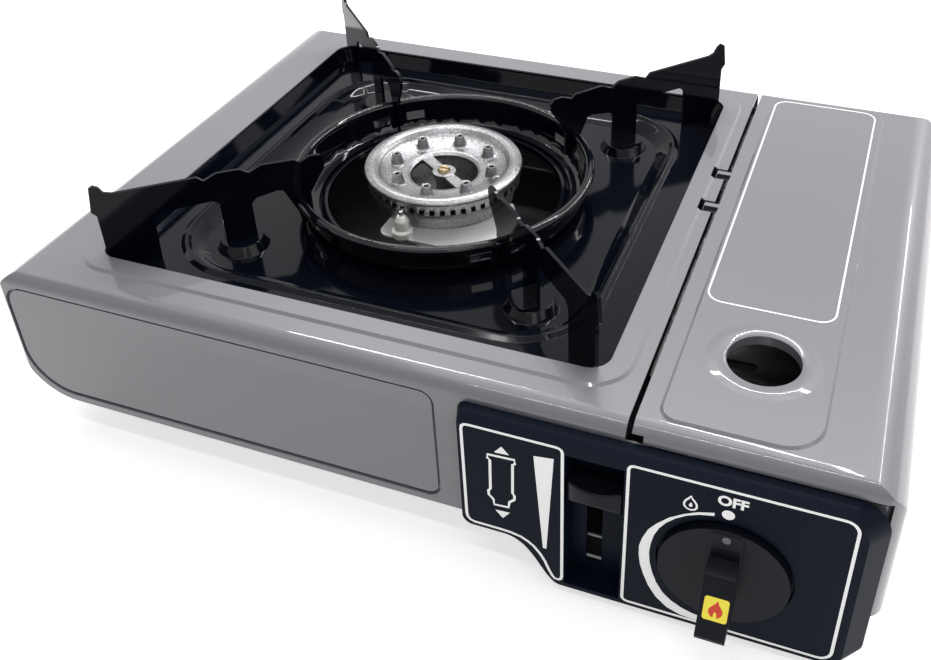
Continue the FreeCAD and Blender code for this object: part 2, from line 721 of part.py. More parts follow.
def valve_cap():
    """Diaphragm cover on the flat of the governor, with a domed middle and two ears."""
    places = valve_screw_places()
    y = (places[0][0] + places[1][0]) / 2
    z = places[0][1]
    x = knob_x + chamber_radius + 1.0
    plate = Part.makeCylinder(8.0, 2.0, V(x, y, z), V(1, 0, 0))
    ears = box(x, x + 2.0, places[0][0] - 3.2, places[1][0] + 3.2, z - 3.2, z + 3.2)
    dome = Part.makeCone(5.4, 3.0, 4.0, V(x + 1.9, y, z), V(1, 0, 0))
    cap = joined([plate, ears, dome])
    for sy, sz in places:
        cap = cap.cut(Part.makeCylinder(screw_radius, 8.0, V(x - 1, sy, sz), V(1, 0, 0)))
    return cap


def screw(head, axis, length):
    """Pan-head screw: the head's underside is at head, the shank runs along axis."""
    d = V(*axis)
    start = V(*head)
    cap = Part.makeCone(2.4, 3.0, 1.6, start - d * 1.6, d)
    shank = Part.makeCylinder(screw_radius - screw_clearance, length, start, d)
    return cap.fuse(shank).removeSplitter()


def valve_screws():
    x = knob_x + chamber_radius + 3.0
    return Part.makeCompound([screw((x, y, z), (-1, 0, 0), 7.0)
                              for y, z in valve_screw_places()])


def base_screw_places():
    return [(knob_x - 30, bay_front + 12), (knob_x + 30, bay_front + 12),
            (knob_x - 30, bay_back - 36), (knob_x + 30, bay_back - 36)]


def base_screws():
    z = base_floor - sheet
    return Part.makeCompound([screw((x, y, z), (0, 0, 1), 3.4)
                              for x, y in base_screw_places()])


def panel_screw_places():
    """x, z and the inner face of the wall that each panel screw pulls on."""
    step = lid_overlap + sheet
    return [(panel_left + 6.5, 66.0, front_y + sheet), (panel_left + 6.5, 38.0, front_y + sheet),
            (panel_right - 8.0, 66.0, front_y + step + sheet),
            (panel_right - 8.0, 34.0, front_y + step + sheet)]


def panel_screws():
    return Part.makeCompound([screw((x, y, z), (0, -1, 0), 6.0)
                              for x, z, y in panel_screw_places()])


def cartridge_collar():
    """Ring that takes the cartridge's flange, with the key for its notch at the top."""
    y0 = bay_front
    ring = cylinder_y(collar_radius, y0 - 1.9, y0 + 6, knob_x, cartridge_z)
    ring = ring.cut(cylinder_y(13.0, y0 - 6, y0 + 7, knob_x, cartridge_z))
    key = box(knob_x - 2, knob_x + 2, y0 + 5.9, y0 + 12, cartridge_z + 13.6, cartridge_z + 16.4)
    return ring.fuse(key).removeSplitter()


def panel_outline(inset, y, flare=0):
    """Front view outline of the panel, with the curved lower left edge; flare 1 is at the wall."""
    x0 = panel_left + inset - flare * panel_flare_left
    x1 = panel_right - inset + flare * panel_flare_right
    top = panel_top - inset
    low = panel_low + inset
    shelf = island_low + inset
    k = math.sqrt(0.5)
    r = 4.0
    foot_r = 6.0
    big = panel_end_round - inset
    shelf_end = shelf_x + inset
    tail = lever_left - 4.3 + inset
    edges = []

    def place(a, b):
        return V(a, y, b)

    def line(a, b):
        edges.append(Part.LineSegment(place(*a), place(*b)).toShape())

    def arc(a, m, b):
        edges.append(Part.Arc(place(*a), place(*m), place(*b)).toShape())

    line((x0 + r, top), (x1 - big, top))
    arc((x1 - big, top), (x1 - big + big * k, top - big + big * k), (x1, top - big))
    line((x1, top - big), (x1, low + foot_r))
    arc((x1, low + foot_r), (x1 - foot_r + foot_r * k, low + foot_r - foot_r * k),
        (x1 - foot_r, low))
    line((x1 - foot_r, low), (tail + 3, low))
    curve = Part.BezierCurve()
    curve.setPoles([place(tail + 3, low), place(tail - 4, low), place(shelf_end + 12, shelf),
                    place(shelf_end, shelf)])
    edges.append(curve.toShape())
    line((shelf_end, shelf), (x0 + r, shelf))
    arc((x0 + r, shelf), (x0 + r - r * k, shelf + r - r * k), (x0, shelf + r))
    line((x0, shelf + r), (x0, top - r))
    arc((x0, top - r), (x0 + r - r * k, top - r + r * k), (x0 + r, top))
    return Part.Wire(edges)


def control_panel():
    """Moulded panel: two raised islands, the lever recess with its slot, the knob well."""
    depth = panel_proud - 0.1
    outer = loft([panel_outline(0, panel_y), panel_outline(0, panel_y + depth, 1)])
    slope = polygon([(panel_y - 1, panel_top - 2.6), (panel_y, panel_top - 2.6),
                     (panel_y + 3.0, panel_top - 0.6), (front_y, panel_top),
                     (front_y, panel_top + 2), (panel_y - 1, panel_top + 2)],
                    lambda a, b: V(panel_left - 5, a, b))
    outer = outer.cut(slope.extrude(V(panel_right - panel_left + 20, 0, 0)))
    hollow = Part.Face(panel_outline(panel_wall, panel_y + panel_wall)).extrude(V(0, depth, 0))
    panel = outer.cut(hollow)
    back = panel_y + lever_recess
    top = slot_high + 13.5
    well = box(lever_left - panel_wall, lever_right + panel_wall, panel_y + panel_wall - 0.1,
               back + 1.2, panel_low, top + 1.5)
    panel = panel.fuse(well)
    for x, z, y in panel_screw_places():
        boss = cylinder_y(3.4, panel_y + panel_wall - 0.1, y - sheet - 0.1, x, z)
        panel = panel.fuse(boss)
        panel = panel.cut(cylinder_y(screw_radius, y - 7.0, y, x, z))
    panel = panel.cut(box(lever_left, lever_right, panel_y - 1, back, panel_low + 2.0, top))
    panel = panel.cut(box(slot_left, slot_right, panel_y, back + 5, slot_low, slot_high))
    panel = panel.cut(cylinder_y(knob_radius + 1.2, panel_y - 1, panel_y + knob_well, knob_x,
                                 knob_z))
    panel = panel.fuse(cylinder_y(7.0, panel_y + panel_wall - 0.1, panel_y + 9.0, knob_x,
                                  knob_z))
    panel = panel.cut(cylinder_y(spindle_radius + 1.2, panel_y - 1, panel_y + 12, knob_x, knob_z))
    return panel.removeSplitter()


def lock_lever():
    """Thumb tab with a hollowed underside, and the stem that goes through the slot."""
    gap = slide_clearance
    x0 = lever_left + gap
    x1 = lever_right - gap
    back = panel_y + lever_recess - gap
    low = lever_rest_z
    side = panel_y + 1.0
    middle = (x0 + x1) / 2
    plan = Part.Wire([
        Part.LineSegment(V(x1, back, low), V(x0, back, low)).toShape(),
        Part.LineSegment(V(x0, back, low), V(x0, side, low)).toShape(),
        Part.Arc(V(x0, side, low), V(middle, panel_y - 2.2, low), V(x1, side, low)).toShape(),
        Part.LineSegment(V(x1, side, low), V(x1, back, low)).toShape()])
    tab = Part.Face(plan).extrude(V(0, 0, tab_height))
    under = polygon([(panel_y - 4, low - 1), (panel_y + 5.6, low - 1), (panel_y - 4, low + 11.0)],
                    lambda a, b: V(x0 - 1, a, b))
    tab = tab.cut(under.extrude(V(x1 - x0 + 2, 0, 0)))
    stem_low, stem_high = stem_heights()
    end = stem_end_y()
    stem = box(slot_left + gap, slot_right - gap, back - 0.1, end, stem_low, stem_high)
    hook = box(slot_left + gap, cam_plate_x, end - 4.0, end, stem_low, stem_high)
    return joined([tab, stem, hook])


def stem_heights():
    high = slot_high - slide_clearance
    return high - 11.0, high


def stem_end_y():
    return panel_y + lever_recess + 10.0


def lever_cam_plate():
    """Steel plate on the lever's stem; its slanted slot drives the pusher's pin forward."""
    stem_low, stem_high = stem_heights()
    end = stem_end_y()
    pin_y = slider_front + 2
    top = slider_z + lever_travel + 7.0
    outline = [(end - 4.0, stem_low), (end + 1.0, stem_low), (end + 1.0, top - 9.0),
               (pin_y - push_travel - 6.0, top - 9.0), (pin_y - 5.0, slider_z - 5.0),
               (pin_y + 5.0, slider_z - 5.0), (pin_y + 5.0, top - 14.0), (pin_y - 1.0, top),
               (end - 4.0, top)]
    plate = polygon(outline, lambda a, b: V(cam_plate_x, a, b)).extrude(V(1.5, 0, 0))
    reach = pin_radius + slide_clearance
    run = math.hypot(push_travel, lever_travel)
    slope_y = lever_travel / run * reach
    slope_z = push_travel / run * reach
    track = polygon([(pin_y - slope_y, slider_z - slope_z), (pin_y + slope_y, slider_z + slope_z),
                     (pin_y - push_travel + slope_y, slider_z + lever_travel + slope_z),
                     (pin_y - push_travel - slope_y, slider_z + lever_travel - slope_z)],
                    lambda a, b: V(cam_plate_x - 1, a, b)).extrude(V(4, 0, 0))
    for y, z in ((pin_y, slider_z), (pin_y - push_travel, slider_z + lever_travel)):
        track = track.fuse(Part.makeCylinder(reach, 4.0, V(cam_plate_x - 1, y, z), V(1, 0, 0)))
    return plate.cut(track)


def cartridge_pusher():
    """Sliding rail on the bay's left wall, its pin, and the plate behind the cartridge."""
    gap = slide_clearance
    x0 = bay_left + sheet + gap
    back = bay_back - sheet - gap - 1.0
    rail = box(x0, x0 + 1.5, slider_front - 3, back, slider_z - 3, slider_z + 3)
    plate = box(x0, knob_x + 16, back - 1.5, back, slider_z - 18, cartridge_z + 18)
    plate = plate.cut(cylinder_y(9.0, back - 3, back + 1, knob_x, cartridge_z))
    pin = Part.makeCylinder(pin_radius, x0 + 0.1 - cam_plate_x + 0.6,
                            V(cam_plate_x - 0.6, slider_front + 2, slider_z), V(1, 0, 0))
    return joined([rail, plate, pin])


def knob():
    """Disc with a cross bar: low sloped upper half, raised grip and a tail."""
    y_back = panel_y + knob_well - 0.4
    y_disc = panel_y - knob_disc
    disc = cylinder_y(knob_radius, y_disc, y_back, knob_x, knob_z)
    x0 = knob_x - knob_bar / 2
    low = knob_z - 12.6
    high = knob_z + knob_radius - 0.6
    step = knob_z + 9.6
    grip = panel_y - 10.4
    side = [(y_disc + 1, low), (knob_front_y + 1.6, low), (knob_front_y + 0.2, low + 0.8),
            (knob_front_y, low + 2.2), (grip - 0.6, step - 1.4), (grip, step - 0.4),
            (grip + 1.2, step), (y_disc - 1.6, step + 0.8), (y_disc - 0.8, high - 0.6),
            (y_disc - 0.2, high), (y_disc + 1, high)]
    bar = polygon(side, lambda a, b: V(x0, a, b)).extrude(V(knob_bar, 0, 0))
    piece = disc.fuse(bar).removeSplitter()
    return piece.cut(cylinder_y(spindle_radius + fixed_clearance, y_disc - 1.5, y_back + 1, knob_x,
                                knob_z))


def valve_spindle():
    start = panel_y - knob_disc - 1.4
    return cylinder_y(spindle_radius, start, valve_front + 17, knob_x, knob_z)


def igniter_cam():
    """Round cam on the spindle with one lobe that trips the igniter."""
    y0 = panel_y + 9.4
    y1 = valve_front + 0.1
    disc = cylinder_y(8.5, y0, y1, knob_x, knob_z)
    lobe = box(knob_x - 2.5, knob_x + 2.5, y0 + 1, y1 - 1, knob_z, knob_z + cam_reach)
    cam = disc.fuse(lobe).removeSplitter()
    return cam.cut(cylinder_y(spindle_radius + fixed_clearance, y0 - 1, y1 + 1, knob_x, knob_z))


def igniter_box():
    y0 = front_y + bay_wall_inside + base_clearance + sheet + 0.3
    return knob_x - 10.5, knob_x + 12.5, y0, y0 + 10.4


def igniter():
    """Piezo block on the base plate under the cam, with its striker button."""
    x0, x1, y0, y1 = igniter_box()
    high = knob_z - cam_reach - 5.0
    body = box(x0, x1, y0, y1, base_floor, high)
    button = box(knob_x - 3, knob_x + 3, y0 + 1, y0 + 6.5, high - 0.1, high + 4.2)
    body = body.fuse(button).removeSplitter()
    hole = Part.makeCylinder(lead_radius, 3.0, V(x0 - 1, lead_y(), lead_z()), V(1, 0, 0))
    return body.cut(hole)


def lead_y():
    return igniter_box()[2] + 5.0


def lead_z():
    return base_floor + lead_radius + 0.3


def igniter_lead():
    """Insulated lead: down from the electrode, along the base plate, into the igniter."""
    x0 = igniter_box()[0]
    low = lead_z()
    inside_y = lead_y() + pan_setback + 7.0
    points = [V(electrode_x, electrode_y, bracket_z - 0.1), V(electrode_x, electrode_y, low),
              V(electrode_x + 16.0, inside_y, low), V(pan_step_x + 30.0, inside_y, low),
              V(pan_step_x + 48.0, lead_y(), low), V(x0 + 2.0, lead_y(), low)]
    solids = []
    start = points[0]
    for i in range(1, 5):
        into = (points[i] - points[i - 1]).normalize()
        away = (points[i + 1] - points[i]).normalize()
        turn = into.getAngle(away)
        cut = lead_bend * math.tan(turn / 2)
        first = points[i] - into * cut
        last = points[i] + away * cut
        inward = (away - into).normalize()
        centre = points[i] + inward * (lead_bend / math.cos(turn / 2))
        middle = centre - inward * lead_bend
        run = first - start
        solids.append(Part.makeCylinder(lead_radius, run.Length, start, run))
        circle = Part.Wire(Part.Circle(first, into, lead_radius).toShape())
        path = Part.Wire(Part.Arc(first, middle, last).toShape())
        solids.append(path.makePipeShell([circle], True, False))
        start = last
    run = points[5] - start
    solids.append(Part.makeCylinder(lead_radius, run.Length, start, run))
    return joined(solids)


def electrode_ceramic():
    """Stepped white insulator standing on the strap."""
    low = bracket_z
    at = V(electrode_x, electrode_y, 0)
    steps = [(0, 0), (2.4, 0), (2.4, sheet), (4.6, sheet), (4.6, 3.6), (3.2, 4.2), (3.2, 8.2),
             (1.7, 10.6), (0, 10.6)]
    ceramic = polygon(steps, lambda r, z: at + V(r, 0, low + z)).revolve(at, Z_UP, 360)
    return ceramic.cut(Part.makeCylinder(0.8, 14.0, at + V(0, 0, low - 1), Z_UP))


def electrode_pin():
    at = V(electrode_x, electrode_y, bracket_z)
    pin = Part.makeCylinder(0.8, 12.6, at, Z_UP)
    tip = Part.makeCylinder(0.8, 3.0, at + V(0, 0, 11.8), Y_BACK)
    return pin.fuse(tip).removeSplitter()


def burner_bracket():
    """Bright strap in front of the burner body, with an upturned ear on the right."""
    strap = round_box(burner_x - 14, burner_y - 41, burner_x + 38, burner_y - 8, bracket_z,
                      bracket_z + sheet, 5)
    strap = strap.common(cylinder_z(tray_hole_radius - 2, 0, 2 * plate_height, burner_x, burner_y))
    ear = polygon([(burner_x + 16, bracket_z), (burner_x + 38, bracket_z),
                   (burner_x + 36, bracket_z + 6), (burner_x + 33, bracket_z + 6)],
                  lambda a, b: V(a, burner_y - 9.0, b)).extrude(V(0, sheet, 0))
    strap = strap.fuse(ear).removeSplitter()
    strap = strap.cut(cylinder_z(31.0, 0, bracket_z + sheet, burner_x, burner_y))
    strap = strap.cut(cylinder_z(rim_radius, bracket_z + sheet, 2 * plate_height, burner_x,
                                 burner_y))
    return strap.cut(cylinder_z(2.4 + run_clearance, 0, 2 * plate_height, electrode_x,
                                electrode_y))


def burner_support():
    """Pressed channel on the base plate that carries the burner body."""
    x0, x1 = burner_x - 24, burner_x + 24
    y0, y1 = burner_y - 11, burner_y + 11
    top = box(x0, x1, y0, y1, base_low - 1.2, base_low)
    legs = [box(x0, x0 + 1.2, y0, y1, base_floor, base_low),
            box(x1 - 1.2, x1, y0, y1, base_floor, base_low),
            box(x0 - 9, x0 + 1.2, y0, y1, base_floor, base_floor + 1.2),
            box(x1 - 1.2, x1 + 9, y0, y1, base_floor, base_floor + 1.2)]
    return joined([top] + legs)


def warming_plate():
    """Aluminium strip that brings burner heat under the cartridge bay."""
    low = base_floor + 0.05
    y0, y1 = burner_y + 20, burner_y + 46
    flat = box(burner_x + 60, knob_x + 22, y0, y1, low, low + 0.9)
    riser = box(burner_x + 60, burner_x + 60.9, y0, y1, low, bracket_z - 5)
    return flat.fuse(riser).removeSplitter()


def burner_screw():
    head = screw((burner_x, burner_y, rim_top - 5.8), (0, 0, -1), 14.0)
    slot = box(burner_x - 4, burner_x + 4, burner_y - 0.4, burner_y + 0.4, rim_top - 4.8,
               rim_top)
    return head.cut(slot)


def write_all():
    keep("body_shell", body_shell())
    keep("base_plate", base_plate())
    keep("feet", Part.makeCompound([foot(x, y) for x, y in foot_places()]))
    keep("drip_tray", drip_tray())
    keep("bay_frame", bay_frame())
    keep("control_panel", control_panel())
    keep("lid", lid())
    keep("trivet_ring", trivet_ring())
    keep("trivet_blades", Part.makeCompound(blades()))
    keep("burner_head", burner_head())
    keep("burner_base", burner_base())
    keep("burner_screw", burner_screw())
    keep("burner_bracket", burner_bracket())
    keep("burner_support", burner_support())
    keep("electrode_ceramic", electrode_ceramic())
    keep("electrode_pin", electrode_pin())
    keep("mixing_tube", mixing_tube())
    keep("gas_nozzle", gas_nozzle())
    keep("valve_body", valve_body())
    keep("valve_cap", valve_cap())
    keep("valve_spindle", valve_spindle())
    keep("cartridge_collar", cartridge_collar())
    keep("knob", knob())
    keep("igniter_cam", igniter_cam())
    keep("igniter", igniter())
    keep("igniter_lead", igniter_lead())
    keep("lock_lever", lock_lever())
    keep("lever_cam_plate", lever_cam_plate())
    keep("cartridge_pusher", cartridge_pusher())
    keep("warming_plate", warming_plate())
    keep("valve_screws", valve_screws())
    keep("base_screws", base_screws())
    keep("panel_screws", panel_screws())


write_all()
for name, shape in made.items():
    size = shape.BoundBox
    print(name, len(shape.Solids), shape.isValid(), round(shape.Volume), "x %.1f %.1f y %.1f %.1f "
          "z %.1f %.1f" % (size.XMin, size.XMax, size.YMin, size.YMax, size.ZMin, size.ZMax))
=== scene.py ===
"""Dresses the butane cassette stove for its picture.

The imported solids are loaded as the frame. Every piece made here is in metres, in the same
frame as the solids, with its object at the origin.
"""

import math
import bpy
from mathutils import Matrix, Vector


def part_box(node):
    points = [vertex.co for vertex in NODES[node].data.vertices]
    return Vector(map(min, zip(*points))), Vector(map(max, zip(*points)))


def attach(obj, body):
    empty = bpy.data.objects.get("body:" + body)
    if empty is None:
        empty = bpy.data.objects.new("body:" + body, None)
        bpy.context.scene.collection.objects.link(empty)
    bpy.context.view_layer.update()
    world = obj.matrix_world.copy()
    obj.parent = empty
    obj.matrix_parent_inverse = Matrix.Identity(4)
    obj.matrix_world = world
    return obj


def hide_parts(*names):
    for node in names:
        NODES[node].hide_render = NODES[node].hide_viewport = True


bl_info = {
    "name": "Cassette Stove Dressing",
    "version": (1, 0, 0),
    "blender": (4, 5, 0),
    "location": "3D View > Sidebar > Stove",
    "description": "Finishes, printed marks, burner details and studio for a cassette stove",
    "category": "Object",
}

import bmesh
import bpy
from bpy.props import FloatProperty, FloatVectorProperty, IntProperty, PointerProperty
from mathutils import Matrix, Vector
from mathutils.bvhtree import BVHTree

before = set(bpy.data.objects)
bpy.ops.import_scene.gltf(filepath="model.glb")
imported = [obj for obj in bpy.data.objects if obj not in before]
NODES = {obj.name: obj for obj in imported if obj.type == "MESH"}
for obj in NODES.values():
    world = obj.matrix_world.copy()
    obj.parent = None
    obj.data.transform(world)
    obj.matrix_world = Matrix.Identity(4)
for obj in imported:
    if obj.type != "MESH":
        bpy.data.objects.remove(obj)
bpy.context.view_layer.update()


def middle(node):
    """Middle of a node's box."""
    low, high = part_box(node)
    return [(a + b) / 2 for a, b in zip(low, high)]


# Places read from the solids

BURNER_X, BURNER_Y = middle("burner_head")[:2]
PANEL_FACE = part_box("control_panel")[0][1]
COVER_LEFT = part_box("lid")[0][0]
COVER_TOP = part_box("lid")[1][2]

# The prints are drawn with the dial's axis at DIAL_X, and SIDE moves them to the spindle

DIAL_X = 0.1185
SIDE = middle("valve_spindle")[0] - DIAL_X

# Directions, and a distance well outside the stove

FRONT = Vector((0, -1, 0))
UP = Vector((0, 0, 1))
FAR = 1.0

# How far a print stands off what it lies on

FLAT_LIFT = 0.00012
SKIN_LIFT = 0.000048
COVER_LIFT = 0.000036
LAYER = 0.00004


def colour(name, text, value):
    """A colour that a user may change."""
    return FloatVectorProperty(name=name, description=text, subtype="COLOR", size=3, min=0, max=1,
                               default=value)


def length(name, text, value):
    """A length in metres that a user may change."""
    return FloatProperty(name=name, description=text, subtype="DISTANCE", unit="LENGTH",
                         default=value, precision=5)


class StoveFinish(bpy.types.PropertyGroup):
    paint: colour("Body Paint", "Gloss grey paint of body and cover", (0.182, 0.182, 0.205))
    enamel: colour("Enamel", "Black enamel of tray and pan support", (0.0022, 0.0030, 0.0070))
    panel: colour("Panel Plastic", "Blue-black plastic of the control panel",
                  (0.0030, 0.0062, 0.0150))
    knob: colour("Knob Plastic", "Plastic of knob and lever", (0.0050, 0.0062, 0.0110))
    print_white: colour("Print", "White printed marks", (0.94, 0.94, 0.94))
    cast: colour("Cast Metal", "Burner casting", (0.34, 0.34, 0.35))
    sticker: colour("Sticker", "Yellow patch on the knob", (0.95, 0.80, 0.07))
    flame: colour("Flame", "Red flame on the patch", (0.72, 0.06, 0.02))


class StoveEdges(bpy.types.PropertyGroup):
    pressed: length("Pressed Sheet", "Edge round of body and tray", 0.0006)
    cover: length("Cover", "Edge round of the cover", 0.0009)
    blade: length("Blades", "Edge round of the pan support's blades", 0.0004)
    panel: length("Panel", "Edge round of the control panel", 0.0005)
    knob: length("Knob", "Edge round of the knob", 0.0008)
    lever: length("Lever", "Edge round of the lever", 0.0006)
    ceramic: length("Ceramic", "Edge round of the electrode's ceramic", 0.00025)


class StovePrint(bpy.types.PropertyGroup):
    line: length("Line", "Width of the printed frame lines", 0.0011)
    off_height: length("Off Height", "Height of the word at the dial's rest mark", 0.0041)
    sign_line: length("Sign Line", "Width of the cartridge sign's outline", 0.0010)
    drop_line: length("Drop Line", "Width of the drop's outline", 0.0007)
    cover_line: length("Cover Line", "Width of the printed frame on the cover", 0.0007)


class StoveBurner(bpy.types.PropertyGroup):
    axis_x: length("Burner X", "Burner axis from the middle", BURNER_X)
    axis_y: length("Burner Y", "Burner axis, towards the back", BURNER_Y)
    posts: IntProperty(name="Posts", description="Hollow posts on the head", default=8, min=3)
    post_ring: length("Post Ring", "Distance of the posts' bores from the axis", 0.0223)
    bore: length("Bore", "Radius of a post's bore", 0.00105)
    ports: IntProperty(name="Ports", description="Flame ports round the head", default=48, min=8)
    port_radius: length("Port Radius", "Distance of the shade-painted port backs from the axis", 0.0322)
    port_width: length("Port Width", "Width of a port's shade-painted back", 0.0026)
    port_height: length("Port Height", "Height of a port's shade-painted back", 0.0030)


class StoveStage(bpy.types.PropertyGroup):
    floor: FloatProperty(name="Floor", description="Grey tone of the floor", default=0.80,
                         min=0.0, max=1.0)
    key: FloatProperty(name="Key Light", description="Power of the large overhead lamp",
                       default=4.2, min=0.0, unit="POWER")
    side: FloatProperty(name="Side Light", description="Power of the lamp on the right",
                        default=2.0, min=0.0, unit="POWER")
    strip: FloatProperty(name="Strip Light", description="Power of the strip behind, for glints",
                         default=8.0, min=0.0, unit="POWER")
    sky: FloatProperty(name="Sky", description="Strength of the even surrounding light",
                       default=0.17, min=0.0)
    fill: FloatProperty(name="Front Light", description="Power of the lamp by the camera",
                        default=0.9, min=0.0, unit="POWER")


# Shader helpers

# DARK_GRAIN is the dark end of a casting's grain as a share of its tone, and RING_SHARE the
# height of its turned rings as a share of its pimples

MICRON = 0.000001
DARK_GRAIN = 0.55
RING_SHARE = 0.35


def node_of(tree, kind, **values):
    """A new node with its settings."""
    node = tree.nodes.new(kind)
    for key, value in values.items():
        setattr(node, key, value)
    return node


def link(tree, a, b):
    """Join an output to an input."""
    tree.links.new(a, b)


def surface_grain_group():
    """Fine pimples and a slow tone drift, shared by paint, enamel, plastic and plain metal."""
    group = bpy.data.node_groups.get("Surface Grain")
    if group:
        return group
    group = bpy.data.node_groups.new("Surface Grain", "ShaderNodeTree")
    face = group.interface
    for name, value in (("Pimple Scale", 600.0), ("Drift Scale", 9.0), ("Drift", 0.06)):
        socket = face.new_socket(name=name, in_out="INPUT", socket_type="NodeSocketFloat")
        socket.default_value = value
    face.new_socket(name="Tone", in_out="INPUT", socket_type="NodeSocketColor")
    face.new_socket(name="Colour", in_out="OUTPUT", socket_type="NodeSocketColor")
    face.new_socket(name="Height", in_out="OUTPUT", socket_type="NodeSocketFloat")
    face.new_socket(name="Mask", in_out="OUTPUT", socket_type="NodeSocketFloat")
    inside = node_of(group, "NodeGroupInput")
    outside = node_of(group, "NodeGroupOutput")
    place = node_of(group, "ShaderNodeTexCoord")
    fine = node_of(group, "ShaderNodeTexNoise")
    fine.inputs["Detail"].default_value = 3.0
    slow = node_of(group, "ShaderNodeTexNoise")
    slow.inputs["Detail"].default_value = 2.0
    link(group, place.outputs["Object"], fine.inputs["Vector"])
    link(group, place.outputs["Object"], slow.inputs["Vector"])
    link(group, inside.outputs["Pimple Scale"], fine.inputs["Scale"])
    link(group, inside.outputs["Drift Scale"], slow.inputs["Scale"])
    shift = node_of(group, "ShaderNodeMath", operation="SUBTRACT")
    shift.inputs[1].default_value = 0.5
    link(group, slow.outputs["Fac"], shift.inputs[0])
    amount = node_of(group, "ShaderNodeMath", operation="MULTIPLY_ADD")
    amount.inputs[2].default_value = 1.0
    link(group, shift.outputs[0], amount.inputs[0])
    link(group, inside.outputs["Drift"], amount.inputs[1])
    tint = node_of(group, "ShaderNodeVectorMath", operation="SCALE")
    link(group, inside.outputs["Tone"], tint.inputs[0])
    link(group, amount.outputs[0], tint.inputs["Scale"])
    link(group, tint.outputs[0], outside.inputs["Colour"])
    link(group, fine.outputs["Fac"], outside.inputs["Height"])
    link(group, slow.outputs["Fac"], outside.inputs["Mask"])
    return group


def principled(name):
    """A new material with its node tree and its shader."""
    material = bpy.data.materials.new(name)
    material.use_nodes = True
    tree = material.node_tree
    shader = tree.nodes["Principled BSDF"]
    return material, tree, shader


def grained(name, tone, rough, pimples, bump, drift, rough_spread=0.04, metal=0.0, coat=0.0,
            coat_rough=0.05, specular=0.5, glow=0.0):
    """A finish with the shared grain: tone drift, roughness drift and a fine bump; glow makes it
    give off painted light of its own tone.
    """
    material, tree, shader = principled(name)
    grain = node_of(tree, "ShaderNodeGroup", node_tree=surface_grain_group())
    grain.inputs["Pimple Scale"].default_value = pimples
    grain.inputs["Drift"].default_value = drift
    grain.inputs["Tone"].default_value = (*tone, 1.0)
    link(tree, grain.outputs["Colour"], shader.inputs["Base Color"])
    spread = node_of(tree, "ShaderNodeMapRange")
    spread.inputs["To Min"].default_value = rough - rough_spread
    spread.inputs["To Max"].default_value = rough + rough_spread
    link(tree, grain.outputs["Mask"], spread.inputs["Value"])
    link(tree, spread.outputs["Result"], shader.inputs["Roughness"])
    dent = node_of(tree, "ShaderNodeBump")
    dent.inputs["Strength"].default_value = 1.0
    dent.inputs["Distance"].default_value = bump
    link(tree, grain.outputs["Height"], dent.inputs["Height"])
    link(tree, dent.outputs["Normal"], shader.inputs["Normal"])
    shader.inputs["Metallic"].default_value = metal
    shader.inputs["Coat Weight"].default_value = coat
    shader.inputs["Coat Roughness"].default_value = coat_rough
    shader.inputs["Specular IOR Level"].default_value = specular
    # Painted light: the finish glows with its own tone, as strong as glow
    shader.inputs["Emission Color"].default_value = (*tone, 1.0)
    shader.inputs["Emission Strength"].default_value = glow
    return material


def zinc_sheet():
    """Zinc-plated sheet with the faint crystal spangle."""
    material, tree, shader = principled("Zinc Sheet")
    place = node_of(tree, "ShaderNodeTexCoord")
    cells = node_of(tree, "ShaderNodeTexVoronoi")
    cells.inputs["Scale"].default_value = 160.0
    link(tree, place.outputs["Object"], cells.inputs["Vector"])
    tone = node_of(tree, "ShaderNodeMapRange")
    tone.inputs["To Min"].default_value = 0.50
    tone.inputs["To Max"].default_value = 0.68
    separate = node_of(tree, "ShaderNodeSeparateColor")
    link(tree, cells.outputs["Color"], separate.inputs["Color"])
    link(tree, separate.outputs["Red"], tone.inputs["Value"])
    link(tree, tone.outputs["Result"], shader.inputs["Base Color"])
    rough = node_of(tree, "ShaderNodeMapRange")
    rough.inputs["To Min"].default_value = 0.26
    rough.inputs["To Max"].default_value = 0.42
    link(tree, separate.outputs["Green"], rough.inputs["Value"])
    link(tree, rough.outputs["Result"], shader.inputs["Roughness"])
    shader.inputs["Metallic"].default_value = 1.0
    return material


